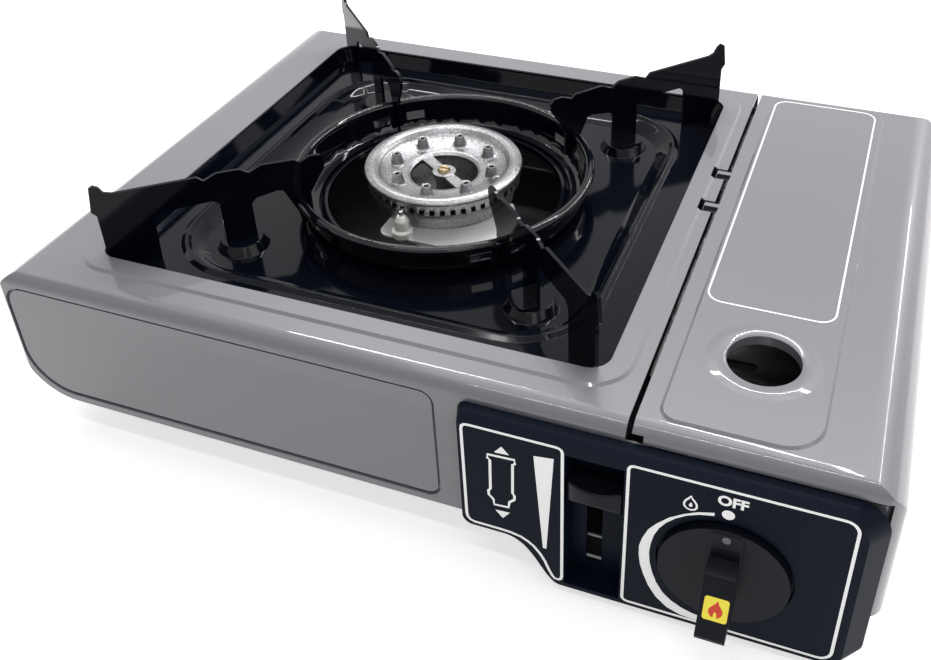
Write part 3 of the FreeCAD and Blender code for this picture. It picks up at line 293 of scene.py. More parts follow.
def machined(name, tone, rough, ring_scale):
    """Grained metal with fine turned rings about the burner's upright axis."""
    burner = bpy.context.scene.stove_burner
    material, tree, shader = principled(name)
    place = node_of(tree, "ShaderNodeTexCoord")
    centre = node_of(tree, "ShaderNodeMapping")
    centre.inputs["Location"].default_value = (-burner.axis_x, -burner.axis_y, 0)
    link(tree, place.outputs["Object"], centre.inputs["Vector"])
    rings = node_of(tree, "ShaderNodeTexWave", wave_type="RINGS", rings_direction="Z")
    rings.inputs["Scale"].default_value = ring_scale
    rings.inputs["Distortion"].default_value = 1.5
    rings.inputs["Detail"].default_value = 2.0
    link(tree, centre.outputs["Vector"], rings.inputs["Vector"])
    cast = node_of(tree, "ShaderNodeTexNoise")
    cast.inputs["Scale"].default_value = 900.0
    cast.inputs["Detail"].default_value = 4.0
    link(tree, place.outputs["Object"], cast.inputs["Vector"])
    drift = node_of(tree, "ShaderNodeTexNoise")
    drift.inputs["Scale"].default_value = 70.0
    link(tree, place.outputs["Object"], drift.inputs["Vector"])
    ramp = node_of(tree, "ShaderNodeValToRGB")
    ramp.color_ramp.elements[0].position = 0.38
    ramp.color_ramp.elements[0].color = (*[c * DARK_GRAIN for c in tone], 1.0)
    ramp.color_ramp.elements[1].position = 0.62
    ramp.color_ramp.elements[1].color = (*tone, 1.0)
    speckle = node_of(tree, "ShaderNodeMix", data_type="FLOAT")
    speckle.inputs[0].default_value = 0.65
    link(tree, drift.outputs["Fac"], speckle.inputs[2])
    link(tree, cast.outputs["Fac"], speckle.inputs[3])
    link(tree, speckle.outputs[0], ramp.inputs["Fac"])
    link(tree, ramp.outputs["Color"], shader.inputs["Base Color"])
    spread = node_of(tree, "ShaderNodeMapRange")
    spread.inputs["To Min"].default_value = rough - 0.06
    spread.inputs["To Max"].default_value = rough + 0.10
    link(tree, drift.outputs["Fac"], spread.inputs["Value"])
    link(tree, spread.outputs["Result"], shader.inputs["Roughness"])
    both = node_of(tree, "ShaderNodeMath", operation="MULTIPLY_ADD")
    both.inputs[1].default_value = RING_SHARE
    link(tree, rings.outputs["Fac"], both.inputs[0])
    link(tree, cast.outputs["Fac"], both.inputs[2])
    dent = node_of(tree, "ShaderNodeBump")
    dent.inputs["Strength"].default_value = 1.0
    dent.inputs["Distance"].default_value = 140 * MICRON
    link(tree, both.outputs[0], dent.inputs["Height"])
    link(tree, dent.outputs["Normal"], shader.inputs["Normal"])
    shader.inputs["Metallic"].default_value = 1.0
    return material


def make_finishes(tone):
    """Every finish of the stove, by a short name."""
    return {
        "paint": grained("Gloss Grey Paint", tone.paint, rough=0.36, pimples=900, bump=4 * MICRON,
                         drift=0.05, rough_spread=0.03, coat=0.8, coat_rough=0.04),
        "enamel": grained("Black Enamel", tone.enamel, rough=0.09, pimples=420, bump=6 * MICRON,
                          drift=0.25, rough_spread=0.03, specular=0.18),
        "support": grained("Glossy Enamel", tone.enamel, rough=0.07, pimples=420, bump=4 * MICRON,
                           drift=0.25, rough_spread=0.02, specular=0.38),
        "panel": grained("Panel Plastic", tone.panel, rough=0.40, pimples=2200, bump=12 * MICRON,
                         drift=0.12, specular=0.06),
        "knob": grained("Knob Plastic", tone.knob, rough=0.27, pimples=2600, bump=8 * MICRON,
                        drift=0.12, specular=0.12),
        # Painted light: the white print glows at 0.25, the yellow patch at 0.2 and the flame at
        # 0.1
        "print": grained("White Print", tone.print_white, rough=0.45, pimples=1800,
                         bump=4 * MICRON, drift=0.04, glow=0.25),
        "dot": grained("Grey Dot", (0.16, 0.16, 0.17), rough=0.5, pimples=1800,
                       bump=4 * MICRON, drift=0.04),
        "sticker": grained("Yellow Patch", tone.sticker, rough=0.35, pimples=900, bump=3 * MICRON,
                           drift=0.05, glow=0.2),
        "flame": grained("Red Flame Print", tone.flame, rough=0.35, pimples=900, bump=3 * MICRON,
                         drift=0.05, glow=0.1),
        "zinc": zinc_sheet(),
        "cast": machined("Cast Burner Metal", tone.cast, rough=0.32, ring_scale=260),
        "cast_low": machined("Cast Body Metal", (0.27, 0.27, 0.28), rough=0.42, ring_scale=40),
        "bright": grained("Bright Strap", (0.80, 0.80, 0.81), rough=0.34, pimples=900,
                          bump=10 * MICRON, drift=0.1, metal=0.5),
        "brass": machined("Turned Brass", (0.42, 0.34, 0.20), rough=0.36, ring_scale=500),
        "steel": grained("Drawn Steel", (0.52, 0.52, 0.53), rough=0.32, pimples=1500,
                         bump=10 * MICRON, drift=0.15, metal=1.0),
        "valve": grained("Die Cast Metal", (0.42, 0.43, 0.45), rough=0.48, pimples=1300,
                         bump=30 * MICRON, drift=0.15, metal=1.0),
        "ceramic": grained("White Ceramic", (0.84, 0.83, 0.78), rough=0.22, pimples=1200,
                           bump=6 * MICRON, drift=0.05, coat=0.5, coat_rough=0.08),
        "rubber": grained("Black Rubber", (0.012, 0.012, 0.013), rough=0.75, pimples=1400,
                          bump=50 * MICRON, drift=0.2, specular=0.3),
        "block": grained("Igniter Plastic", (0.012, 0.012, 0.014), rough=0.5, pimples=1600,
                         bump=20 * MICRON, drift=0.15),
        "sleeve": grained("Silicone Sleeve", (0.62, 0.60, 0.56), rough=0.6, pimples=1400,
                          bump=20 * MICRON, drift=0.1),
        "warm": grained("Mill Aluminium", (0.70, 0.71, 0.72), rough=0.35, pimples=1100,
                        bump=10 * MICRON, drift=0.1, metal=1.0),
        # Painted shade: a near-black finish for the posts' bores, the port backs, the slot's
        # flange and the hooks, dark where shade falls
        "painted_shade": grained("Painted Shade Metal", (0.006, 0.006, 0.007), rough=0.8, pimples=1500,
                        bump=20 * MICRON, drift=0.3, specular=0.04),
        # Painted shade: a dark metal for the zinc cam plate, which is seen in shadow through the
        # lever's slot
        "painted_recess_shade": grained("Recess Metal With Painted Shade", (0.10, 0.105, 0.115), rough=0.5, pimples=1100,
                          bump=30 * MICRON, drift=0.2, metal=0.6),
    }


# The finishes that are made, by their short names, and the one that each node gets

FINISH = {}
NODE_FINISH = {
    "body_shell": "paint", "lid": "paint", "base_plate": "paint", "feet": "rubber",
    "drip_tray": "enamel", "trivet_ring": "support", "trivet_blades": "enamel",
    "bay_frame": "zinc", "control_panel": "panel", "knob": "knob", "lock_lever": "knob",
    "burner_head": "cast", "burner_base": "cast_low", "burner_screw": "brass",
    "burner_bracket": "bright", "burner_support": "zinc", "electrode_ceramic": "ceramic",
    "electrode_pin": "steel", "mixing_tube": "steel", "gas_nozzle": "brass",
    "valve_body": "valve", "valve_cap": "zinc", "valve_spindle": "steel",
    "cartridge_collar": "zinc", "igniter_cam": "block", "igniter": "block",
    # The cam plate gets painted shade, darker than its zinc, where it is seen through the slot
    "igniter_lead": "sleeve", "lever_cam_plate": "painted_recess_shade", "cartridge_pusher": "zinc",
    "warming_plate": "warm", "valve_screws": "steel", "base_screws": "steel",
    "panel_screws": "steel",
}


# Mesh helpers

# Points closer than MERGE are one point, faces within FLAT_ANGLE one face, edges past
# SHARP_ANGLE are rounded, and creases past those in CREASE, in degrees, stay sharp

MERGE = 0.000002
PRINT_MERGE = 0.000001
FLAT_ANGLE = math.radians(0.6)
SHARP_ANGLE = math.radians(35)
CORNER_STEPS = 6
CREASE = {"sheet": 25, "moulded": 30, "turned": 35, "rubber": 40}


def new_piece(name, mesh, finish, body, replaces=()):
    """Link a finished mesh as a piece that moves with a body."""
    piece = bpy.data.objects.new(name, mesh)
    bpy.context.scene.collection.objects.link(piece)
    mesh.materials.clear()
    mesh.materials.append(FINISH[finish])
    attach(piece, body)
    if replaces:
        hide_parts(*replaces)
    return piece


def mesh_from(bm, name, crease=30):
    """A smooth-shaded mesh whose edges past the crease angle, in degrees, stay sharp."""
    mesh = bpy.data.meshes.new(name)
    bm.to_mesh(mesh)
    bm.free()
    mesh.shade_smooth()
    mesh.set_sharp_from_angle(angle=math.radians(crease))
    return mesh


def merged_copy(node):
    """The node's own shape, with its loose triangles merged."""
    bm = bmesh.new()
    bm.from_mesh(NODES[node].data)
    bmesh.ops.remove_doubles(bm, verts=bm.verts, dist=MERGE)
    return bm


def surface_of(node):
    """The node's shape, ready to be met by rays."""
    shape = merged_copy(node)
    surface = BVHTree.FromBMesh(shape)
    shape.free()
    return surface


def met(surface, start, direction):
    """Where a ray meets the surface."""
    spot = surface.ray_cast(start, direction)[0]
    if spot is None:
        raise RuntimeError("no surface to print on from " + str(tuple(start)))
    return spot


def dressed(node, body, kind, edge=0.0, steps=2):
    """A smooth-shaded copy of a node; edge rounds its sharp edges."""
    bm = merged_copy(node)
    if edge:
        bmesh.ops.dissolve_limit(bm, angle_limit=FLAT_ANGLE, verts=bm.verts, edges=bm.edges)
    name = node + "_dressed"
    piece = new_piece(name, mesh_from(bm, name, CREASE[kind]), NODE_FINISH[node], body,
                      (node,))
    if edge:
        round_off = piece.modifiers.new("Rounded edges", "BEVEL")
        round_off.width = edge
        round_off.segments = steps
        round_off.limit_method = "ANGLE"
        round_off.angle_limit = SHARP_ANGLE
        round_off.harden_normals = False
    even = piece.modifiers.new("Even shading", "WEIGHTED_NORMAL")
    even.keep_sharp = True
    return piece


def ink_shape(bm, outline, place):
    """Fill a closed outline of (a, b) pairs as a flat print; place gives 3-D points."""
    verts = [bm.verts.new(place(a, b)) for a, b in outline]
    edges = [bm.edges.new((verts[i], verts[(i + 1) % len(verts)])) for i in range(len(verts))]
    bmesh.ops.triangle_fill(bm, edges=edges, use_beauty=True, use_dissolve=False)


def ink_line(bm, points, width, place):
    """A printed line of even width along a closed outline of (a, b) pairs."""
    count = len(points)
    left, right = [], []
    for i, (a, b) in enumerate(points):
        before, after = points[i - 1], points[(i + 1) % count]
        da, db = after[0] - before[0], after[1] - before[1]
        half = width / 2 / math.hypot(da, db)
        left.append(bm.verts.new(place(a - db * half, b + da * half)))
        right.append(bm.verts.new(place(a + db * half, b - da * half)))
    for i in range(count):
        j = (i + 1) % count
        bm.faces.new((left[i], left[j], right[j], right[i]))


def rounded(x0, z0, x1, z1, *radii):
    """Rounded rectangle as a list of points, counter-clockwise, with one radius or four."""
    if len(radii) == 1:
        radii = radii * 4
    corners = [(x0, z0, 180), (x1, z0, 270), (x1, z1, 0), (x0, z1, 90)]
    points = []
    for (cx, cz, start), radius in zip(corners, radii):
        sx = 1 if cx == x0 else -1
        sz = 1 if cz == z0 else -1
        for k in range(CORNER_STEPS + 1):
            t = math.radians(start + 90 * k / CORNER_STEPS)
            points.append((cx + sx * radius + radius * math.cos(t),
                           cz + sz * radius + radius * math.sin(t)))
    return points


def lathed(bm, profile, x, y, z, steps=72):
    """Turn a closed (radius, height) profile about the upright axis through (x, y)."""
    rings = []
    for i in range(steps):
        t = math.tau * i / steps
        rings.append([bm.verts.new((x + r * math.cos(t), y + r * math.sin(t), z + h))
                      for r, h in profile])
    for i in range(steps):
        near, far = rings[i], rings[(i + 1) % steps]
        for k in range(len(profile)):
            m = (k + 1) % len(profile)
            bm.faces.new((near[k], far[k], far[m], near[m]))
    bmesh.ops.recalc_face_normals(bm, faces=bm.faces)


def circle(x, z, radius, steps):
    """A circle as a list of points, counter-clockwise."""
    turns = [math.tau * i / steps for i in range(steps)]
    return [(x + radius * math.cos(t), z + radius * math.sin(t)) for t in turns]


def mm(points):
    """Drawn points, in millimetres, as metres."""
    return [(a / 1000, b / 1000) for a, b in points]


def on_panel(a, b):
    """A drawn point on the panel's face."""
    return Vector((a + SIDE, PANEL_FACE - FLAT_LIFT, b))


def on_cover(a, b):
    """A drawn point on the flat top of the cover."""
    return Vector((a + SIDE, b, COVER_TOP + COVER_LIFT))


def on_front(node, lift):
    """Place function for drawn points on a node's surface, seen from straight in front."""
    surface = surface_of(node)

    def place(a, b):
        return met(surface, Vector((a + SIDE, -FAR, b)), -FRONT) + FRONT * lift

    return place


def print_piece(bm, name, finish, body, towards):
    """Turn a print's faces towards the viewer, merge its points and make it a piece."""
    bm.normal_update()
    for face in bm.faces:
        if face.normal.dot(towards) < 0:
            face.normal_flip()
    bmesh.ops.remove_doubles(bm, verts=bm.verts, dist=PRINT_MERGE)
    return new_piece(name, mesh_from(bm, name), finish, body)


# A capital's height as a share of the type size, and the steps along a letter's curve

LETTER_SHARE = 0.7
LETTER_STEPS = 4


def word_mesh(text, height, bold):
    """A flat word in the drawing plane, its middle at (0, 0)."""
    curve = bpy.data.curves.new("word", "FONT")
    curve.body = text
    curve.size = height / LETTER_SHARE
    curve.offset = bold
    curve.align_x = "CENTER"
    curve.align_y = "CENTER"
    curve.resolution_u = LETTER_STEPS
    holder = bpy.data.objects.new("word", curve)
    bpy.context.scene.collection.objects.link(holder)
    bpy.context.view_layer.update()
    ready = holder.evaluated_get(bpy.context.evaluated_depsgraph_get())
    mesh = bpy.data.meshes.new_from_object(ready)
    bpy.data.objects.remove(holder)
    bpy.data.curves.remove(curve)
    return mesh


# Drawings of the prints in millimetres: x, with the dial's axis at DIAL_X, and height above
# the table, or x and y on the cover

LEFT_FRAME = ((25.9, 31.5), (26.2, 29.9), (27.2, 28.6), (28.8, 28.0), (38.3, 28.0), (42.6, 27.8),
              (46.4, 27.0), (49.2, 25.6), (51.6, 23.6), (53.8, 20.7), (55.6, 17.4), (57.0, 13.6),
              (58.4, 10.6), (59.4, 9.4), (60.6, 9.2), (61.6, 9.9), (62.0, 11.4), (62.0, 74.2),
              (61.7, 75.4), (60.8, 76.1), (59.6, 76.3), (28.2, 76.3), (26.8, 76.0), (26.0, 75.2),
              (25.7, 73.8))
RIGHT_FRAME = rounded(84.5, 8.6, 157.0, 76.8, 2.0, 4.5, 4.5, 2.0)
SWEEP_OUTER = ((113.2, 65.3), (108.0, 63.6), (103.5, 61.0), (98.9, 57.5), (95.0, 53.1),
               (92.2, 49.0), (90.4, 44.0), (89.5, 39.8), (89.6, 35.4), (90.2, 30.8),
               (91.6, 25.8), (93.6, 20.6), (96.6, 15.6), (100.6, 11.8), (105.4, 9.8),
               (109.4, 9.3), (112.5, 9.3))
SWEEP_INNER = ((112.5, 12.0), (109.4, 12.5), (105.8, 13.7), (102.0, 15.9), (98.8, 19.0),
               (96.3, 23.4), (94.6, 28.1), (93.5, 33.1), (93.1, 38.0), (93.4, 42.3),
               (94.3, 46.9), (95.8, 51.0), (98.0, 54.6), (101.0, 57.9), (104.6, 60.7),
               (108.5, 62.6), (113.3, 63.9))
REST_DOT = circle(117.6, 65.9, 2.1, 24)
DROP = ((105.4, 70.2), (104.6, 68.9), (103.7, 67.7), (103.2, 66.4), (103.4, 65.1), (104.3, 64.1),
        (105.5, 63.8), (106.7, 64.2), (107.4, 65.2), (107.4, 66.6), (106.7, 67.9), (105.8, 69.0))
DROP_CORE = ((105.5, 67.4), (104.9, 66.3), (104.8, 65.6), (105.4, 65.1), (106.0, 65.5),
             (106.0, 66.3))
WEDGE = ((51.8, 69.6), (59.0, 70.6), (56.2, 24.2), (54.9, 24.4))
CARTRIDGE = ((35.0, 64.6), (45.0, 65.2), (45.0, 63.2), (44.2, 62.6), (43.9, 48.4), (44.6, 47.4),
             (44.5, 45.4), (42.6, 43.4), (42.2, 40.6), (36.8, 40.2), (36.6, 42.8), (34.9, 44.6),
             (34.8, 46.6), (35.6, 47.8), (35.9, 62.2), (35.0, 62.8))
ARROW_UP = ((37.5, 66.4), (43.1, 66.8), (40.3, 70.0))
ARROW_DOWN = ((37.1, 37.6), (42.7, 38.0), (39.9, 34.2))
OFF_PLACE = (118.6, 71.7)
# The slot's painted shade, a dark patch on the base plate's flange seen through the lever's slot
SLOT_SHADE = rounded(67.0, 15.0, 75.5, 25.0, 1.0)
PATCH = rounded(114.9, 34.4, 123.0, 41.8, 0.9)
PATCH_FLAME = ((119.3, 41.0), (118.6, 39.9), (117.5, 38.9), (116.7, 37.9), (116.7, 36.8),
               (117.4, 35.9), (118.4, 35.5), (118.4, 36.7), (118.9, 37.4), (119.4, 36.8),
               (119.5, 35.5), (120.5, 35.9), (121.2, 36.8), (121.3, 37.9), (120.6, 38.9),
               (119.8, 39.8))
KNOB_DOT = circle(118.4, 57.6, 1.4, 20)
COVER_FRAME = rounded(91.5, -38.7, 138.4, 127.5, 6.0)


# The word's added stroke in metres, and its width as a share of the type's own

OFF_BOLD = 0.00022
OFF_NARROW = 0.95


# Operators, one for each piece or group of like pieces


class STOVE_OT_finishes(bpy.types.Operator):
    """Build every finish and put it on the solids"""
    bl_idname = "stove.finishes"
    bl_label = "Finishes"

    def execute(self, context):
        FINISH.update(make_finishes(context.scene.stove_finish))
        for node, finish in NODE_FINISH.items():
            data = NODES[node].data
            if not data.materials:
                data.materials.append(None)
            for i in range(len(data.materials)):
                data.materials[i] = FINISH[finish]
        return {"FINISHED"}


class STOVE_OT_body(bpy.types.Operator):
    """Smooth the pressed body, cover, tray and pan, and the feet"""
    bl_idname = "stove.body"
    bl_label = "Body, Cover and Tray"

    def execute(self, context):
        edges = context.scene.stove_edges
        dressed("body_shell", "root", "sheet", edges.pressed)
        dressed("lid", "lid", "sheet", edges.cover, steps=3)
        dressed("drip_tray", "root", "sheet", edges.pressed)
        dressed("base_plate", "root", "sheet")
        dressed("feet", "root", "rubber")
        return {"FINISHED"}


# The first post's direction in degrees, its rim's distance from the bore's middle, and how
# far the bore's dark disc, painted shade for the bore's shadowed depth, lies below the rim

FIRST_POST = 4.3
POST_RIM = 0.0016
BORE_SINK = 0.0003
BORE_STEPS = 16


class STOVE_OT_burner(bpy.types.Operator):
    """Smooth the burner's pieces and paint shade into the bores of its posts as dark discs"""
    bl_idname = "stove.burner"
    bl_label = "Burner"

    def execute(self, context):
        dressed("burner_head", "root", "turned")
        dressed("burner_base", "root", "moulded")
        dressed("burner_bracket", "root", "moulded")
        dressed("electrode_ceramic", "root", "turned",
                context.scene.stove_edges.ceramic)
        burner = context.scene.stove_burner
        axis = Vector((burner.axis_x, burner.axis_y, 0))
        surface = surface_of("burner_head")
        bm = bmesh.new()
        for i in range(burner.posts):
            t = math.radians(FIRST_POST) + math.tau * i / burner.posts
            out = Vector((math.cos(t), math.sin(t), 0))
            rim = axis + out * (burner.post_ring + POST_RIM)
            top = met(surface, rim + UP * FAR, -UP).z
            bore = axis + out * burner.post_ring + UP * (top - BORE_SINK)
            bmesh.ops.create_circle(bm, cap_ends=True, segments=BORE_STEPS, radius=burner.bore,
                                    matrix=Matrix.Translation(bore))
        # Dark discs of painted shade near the top of the posts' bores
        print_piece(bm, "post_bores", "painted_shade", "root", UP)
        return {"FINISHED"}


class STOVE_OT_pan_support(bpy.types.Operator):
    """Smooth the pan support's ring and round the edges of its blades"""
    bl_idname = "stove.pan_support"
    bl_label = "Pan Support"

    def execute(self, context):
        dressed("trivet_ring", "trivet", "turned")
        dressed("trivet_blades", "trivet", "turned",
                context.scene.stove_edges.blade)
        return {"FINISHED"}


class STOVE_OT_panel(bpy.types.Operator):
    """Round the panel, knob and lever, and paint shade on the pan's flange behind the lever's slot
    """
    bl_idname = "stove.panel"
    bl_label = "Control Panel, Knob and Lever"

    def execute(self, context):
        edges = context.scene.stove_edges
        dressed("control_panel", "root", "moulded", edges.panel, steps=3)
        dressed("knob", "knob", "moulded", edges.knob, steps=3)
        dressed("lock_lever", "lock_lever", "moulded", edges.lever, steps=3)
        # Painted shade: a dark patch on the flange behind the lever's slot
        bm = bmesh.new()
        ink_shape(bm, mm(SLOT_SHADE), on_front("base_plate", SKIN_LIFT + LAYER))
        print_piece(bm, "slot_shade", "painted_shade", "root", FRONT)
        return {"FINISHED"}


class STOVE_OT_panel_print(bpy.types.Operator):
    """Print the frames, the dial's sweep, its rest mark and the cartridge sign on the panel"""
    bl_idname = "stove.panel_print"
    bl_label = "Panel Print"

    def execute(self, context):
        mark = context.scene.stove_print
        bm = bmesh.new()
        ink_line(bm, mm(LEFT_FRAME), mark.line, on_panel)
        ink_line(bm, mm(RIGHT_FRAME), mark.line, on_panel)
        ink_shape(bm, mm(SWEEP_OUTER + SWEEP_INNER), on_panel)
        ink_shape(bm, mm(REST_DOT), on_panel)
        ink_line(bm, mm(DROP), mark.drop_line, on_panel)
        ink_shape(bm, mm(DROP_CORE), on_panel)
        ink_shape(bm, mm(WEDGE), on_panel)
        ink_line(bm, mm(CARTRIDGE), mark.sign_line, on_panel)
        ink_shape(bm, mm(ARROW_UP), on_panel)
        ink_shape(bm, mm(ARROW_DOWN), on_panel)
        print_piece(bm, "panel_print", "print", "root", FRONT)
        word = word_mesh("OFF", mark.off_height, OFF_BOLD)
        word.transform(Matrix.Translation(on_panel(*mm([OFF_PLACE])[0]))
                       @ Matrix.Rotation(math.radians(90), 4, "X")
                       @ Matrix.Diagonal((OFF_NARROW, 1.0, 1.0, 1.0)))
        new_piece("off_word", word, "print", "root")
        return {"FINISHED"}


class STOVE_OT_knob_patch(bpy.types.Operator):
    """Put the yellow patch, its flame and the grey dot on the knob's grip"""
    bl_idname = "stove.knob_patch"
    bl_label = "Knob Patch"

    def execute(self, context):
        marks = (("knob_patch", PATCH, "sticker", SKIN_LIFT),
                 ("knob_flame", PATCH_FLAME, "flame", SKIN_LIFT + LAYER),
                 ("knob_dot", KNOB_DOT, "dot", SKIN_LIFT))
        for name, outline, finish, lift in marks:
            bm = bmesh.new()
            ink_shape(bm, mm(outline), on_front("knob", lift))
            print_piece(bm, name, finish, "knob", FRONT)
        return {"FINISHED"}


class STOVE_OT_cover_print(bpy.types.Operator):
    """Print the bare frame on the cover"""
    bl_idname = "stove.cover_print"
    bl_label = "Cover Print"

    def execute(self, context):
        bm = bmesh.new()
        ink_line(bm, mm(COVER_FRAME), context.scene.stove_print.cover_line, on_cover)
        print_piece(bm, "cover_print", "print", "lid", UP)
        return {"FINISHED"}


# The rolled lip's half section, as radius and height over the cover in millimetres. A hook's
# painted shade, dark where its opening lies in shadow, runs from the cover's left edge to
# HOOK_SHADE_END, and to both sides of its middle.

SIGHT_HOLE = (0.1219, -0.0659)
LIP_SECTION = ((13.05, -1.0), (13.05, -0.3), (13.3, 0.02), (13.9, 0.22), (14.8, 0.42),
               (15.8, 0.54), (16.6, 0.56), (17.5, 0.44), (18.6, 0.22), (19.8, 0.04),
               (20.4, -0.1), (15.0, -1.0))
LIP_CREASE = 60
HOOKS_Y = (0.0247, 0.0517)
HOOK_SHADE_END = 0.0874
HOOK_SHADE_NEAR = 0.0030
HOOK_SHADE_FAR = 0.0002
HOOK_SHADE_ROUND = 0.0004


class STOVE_OT_cover_details(bpy.types.Operator):
    """Raise the rolled lip of the sight hole and paint dark shade over the hooks' sunk halves,
    where they pass into shadowed openings
    """
    bl_idname = "stove.cover_details"
    bl_label = "Cover Details"

    def execute(self, context):
        bm = bmesh.new()
        lathed(bm, mm(LIP_SECTION), *SIGHT_HOLE, COVER_TOP)
        new_piece("sight_lip", mesh_from(bm, "sight_lip", LIP_CREASE), "paint", "lid")
        surface = surface_of("lid")

        def on_hook(a, b):
            return met(surface, Vector((a, b, FAR)), -UP) + UP * FLAT_LIFT

        # Painted shade over the hooks, dark where their openings lie in shadow
        bm = bmesh.new()
        for y in HOOKS_Y:
            ink_shape(bm, rounded(COVER_LEFT + HOOK_SHADE_FAR, y - HOOK_SHADE_NEAR, HOOK_SHADE_END,
                                  y + HOOK_SHADE_FAR, HOOK_SHADE_ROUND), on_hook)
        print_piece(bm, "hook_shade", "painted_shade", "lid", UP)
        return {"FINISHED"}


def port_tree():
    """Geometry nodes: small blocks repeated round an upright axis."""
    tree = bpy.data.node_groups.new("Port Backs", "GeometryNodeTree")
    face = tree.interface
    face.new_socket(name="Geometry", in_out="OUTPUT", socket_type="NodeSocketGeometry")
    for name, kind in (("Count", "NodeSocketInt"), ("Radius", "NodeSocketFloat"),
                       ("Width", "NodeSocketFloat"), ("Height", "NodeSocketFloat"),
                       ("Depth", "NodeSocketFloat"), ("Centre", "NodeSocketVector"),
                       ("Finish", "NodeSocketMaterial")):
        face.new_socket(name=name, in_out="INPUT", socket_type=kind)
    inside = node_of(tree, "NodeGroupInput")
    outside = node_of(tree, "NodeGroupOutput")
    ring = node_of(tree, "GeometryNodeMeshCircle")
    link(tree, inside.outputs["Count"], ring.inputs["Vertices"])
    link(tree, inside.outputs["Radius"], ring.inputs["Radius"])
    size = node_of(tree, "ShaderNodeCombineXYZ")
    link(tree, inside.outputs["Depth"], size.inputs["X"])
    link(tree, inside.outputs["Width"], size.inputs["Y"])
    link(tree, inside.outputs["Height"], size.inputs["Z"])
    block = node_of(tree, "GeometryNodeMeshCube")
    link(tree, size.outputs[0], block.inputs["Size"])
    place = node_of(tree, "GeometryNodeInputPosition")
    turn = node_of(tree, "FunctionNodeAlignRotationToVector", axis="X")
    link(tree, place.outputs[0], turn.inputs["Vector"])
    spread = node_of(tree, "GeometryNodeInstanceOnPoints")
    link(tree, ring.outputs["Mesh"], spread.inputs["Points"])
    link(tree, block.outputs["Mesh"], spread.inputs["Instance"])
    link(tree, turn.outputs[0], spread.inputs["Rotation"])
    move = node_of(tree, "GeometryNodeTransform")
    link(tree, spread.outputs[0], move.inputs["Geometry"])
    link(tree, inside.outputs["Centre"], move.inputs["Translation"])
    real = node_of(tree, "GeometryNodeRealizeInstances")
    link(tree, move.outputs[0], real.inputs[0])
    finish = node_of(tree, "GeometryNodeSetMaterial")
    link(tree, real.outputs[0], finish.inputs["Geometry"])
    link(tree, inside.outputs["Finish"], finish.inputs["Material"])
    link(tree, finish.outputs[0], outside.inputs["Geometry"])
    return tree


def grown(name, tree, values, finish, body):
    """Run a geometry tree once and keep the result as a plain mesh."""
    seed = bpy.data.objects.new(name + "_seed", bpy.data.meshes.new(name + "_seed"))
    bpy.context.scene.collection.objects.link(seed)
    growth = seed.modifiers.new("Growth", "NODES")
    growth.node_group = tree
    sockets = {s.name: s.identifier for s in tree.interface.items_tree
               if s.item_type == "SOCKET" and s.in_out == "INPUT"}
    for key, value in values.items():
        growth[sockets[key]] = value
    bpy.context.view_layer.update()
    ready = seed.evaluated_get(bpy.context.evaluated_depsgraph_get())
    mesh = bpy.data.meshes.new_from_object(ready)
    bpy.data.objects.remove(seed)
    mesh.name = name
    if not len(mesh.polygons):
        raise RuntimeError(name + " came out empty")
    return new_piece(name, mesh, finish, body)


# Height of the ports' middle over the table, and how deep their dark backs are; the backs are
# painted shade for the shadowed inside of the head

PORT_MIDDLE = 0.0861
PORT_DEPTH = 0.0008


class STOVE_OT_port_backs(bpy.types.Operator):
    """Grow the dark backs of the flame ports, painted shade behind the ports"""
    bl_idname = "stove.port_backs"
    bl_label = "Port Backs"

    def execute(self, context):
        burner = context.scene.stove_burner
        values = {"Count": burner.ports, "Radius": burner.port_radius,
                  "Width": burner.port_width, "Height": burner.port_height, "Depth": PORT_DEPTH,
                  "Centre": (burner.axis_x, burner.axis_y, PORT_MIDDLE),
                  # The port backs get the painted shade finish
                  "Finish": FINISH["painted_shade"]}
        grown("port_backs", port_tree(), values, "painted_shade", "root")
        return {"FINISHED"}


# Stage

# The camera fitted to the photograph: focal length and centre in pixels of its frame, angles
# in radians, and a place whose x counts as in the drawings of the prints

IMAGE_W, IMAGE_H = 931, 660
FOCAL = 1068.345
ACROSS, DOWN = 523.303, 212.446
AZIMUTH = 0.3634306
ELEVATION = 0.5876758
ROLL = -0.0191916
CAMERA_PLACE = (0.13962, -0.35394, 0.33504)
SENSOR = 36.0
FLOOR_HALF = 4.0
FLOOR_GLOW = 0.65
FLOOR_DRIFT = 0.01

# The point that the lamps face, and the power of the weaker lamps as a share of their group's

AIM = Vector((0.0, 0.0, 0.06))
RIGHT_STRIP = 0.7
FRONT_STRIP = 0.3
LEFT_SIDE = 0.25


def turned_to(along, up, back):
    """A rotation matrix from three axes at right angles."""
    return Matrix((along, up, back)).transposed()


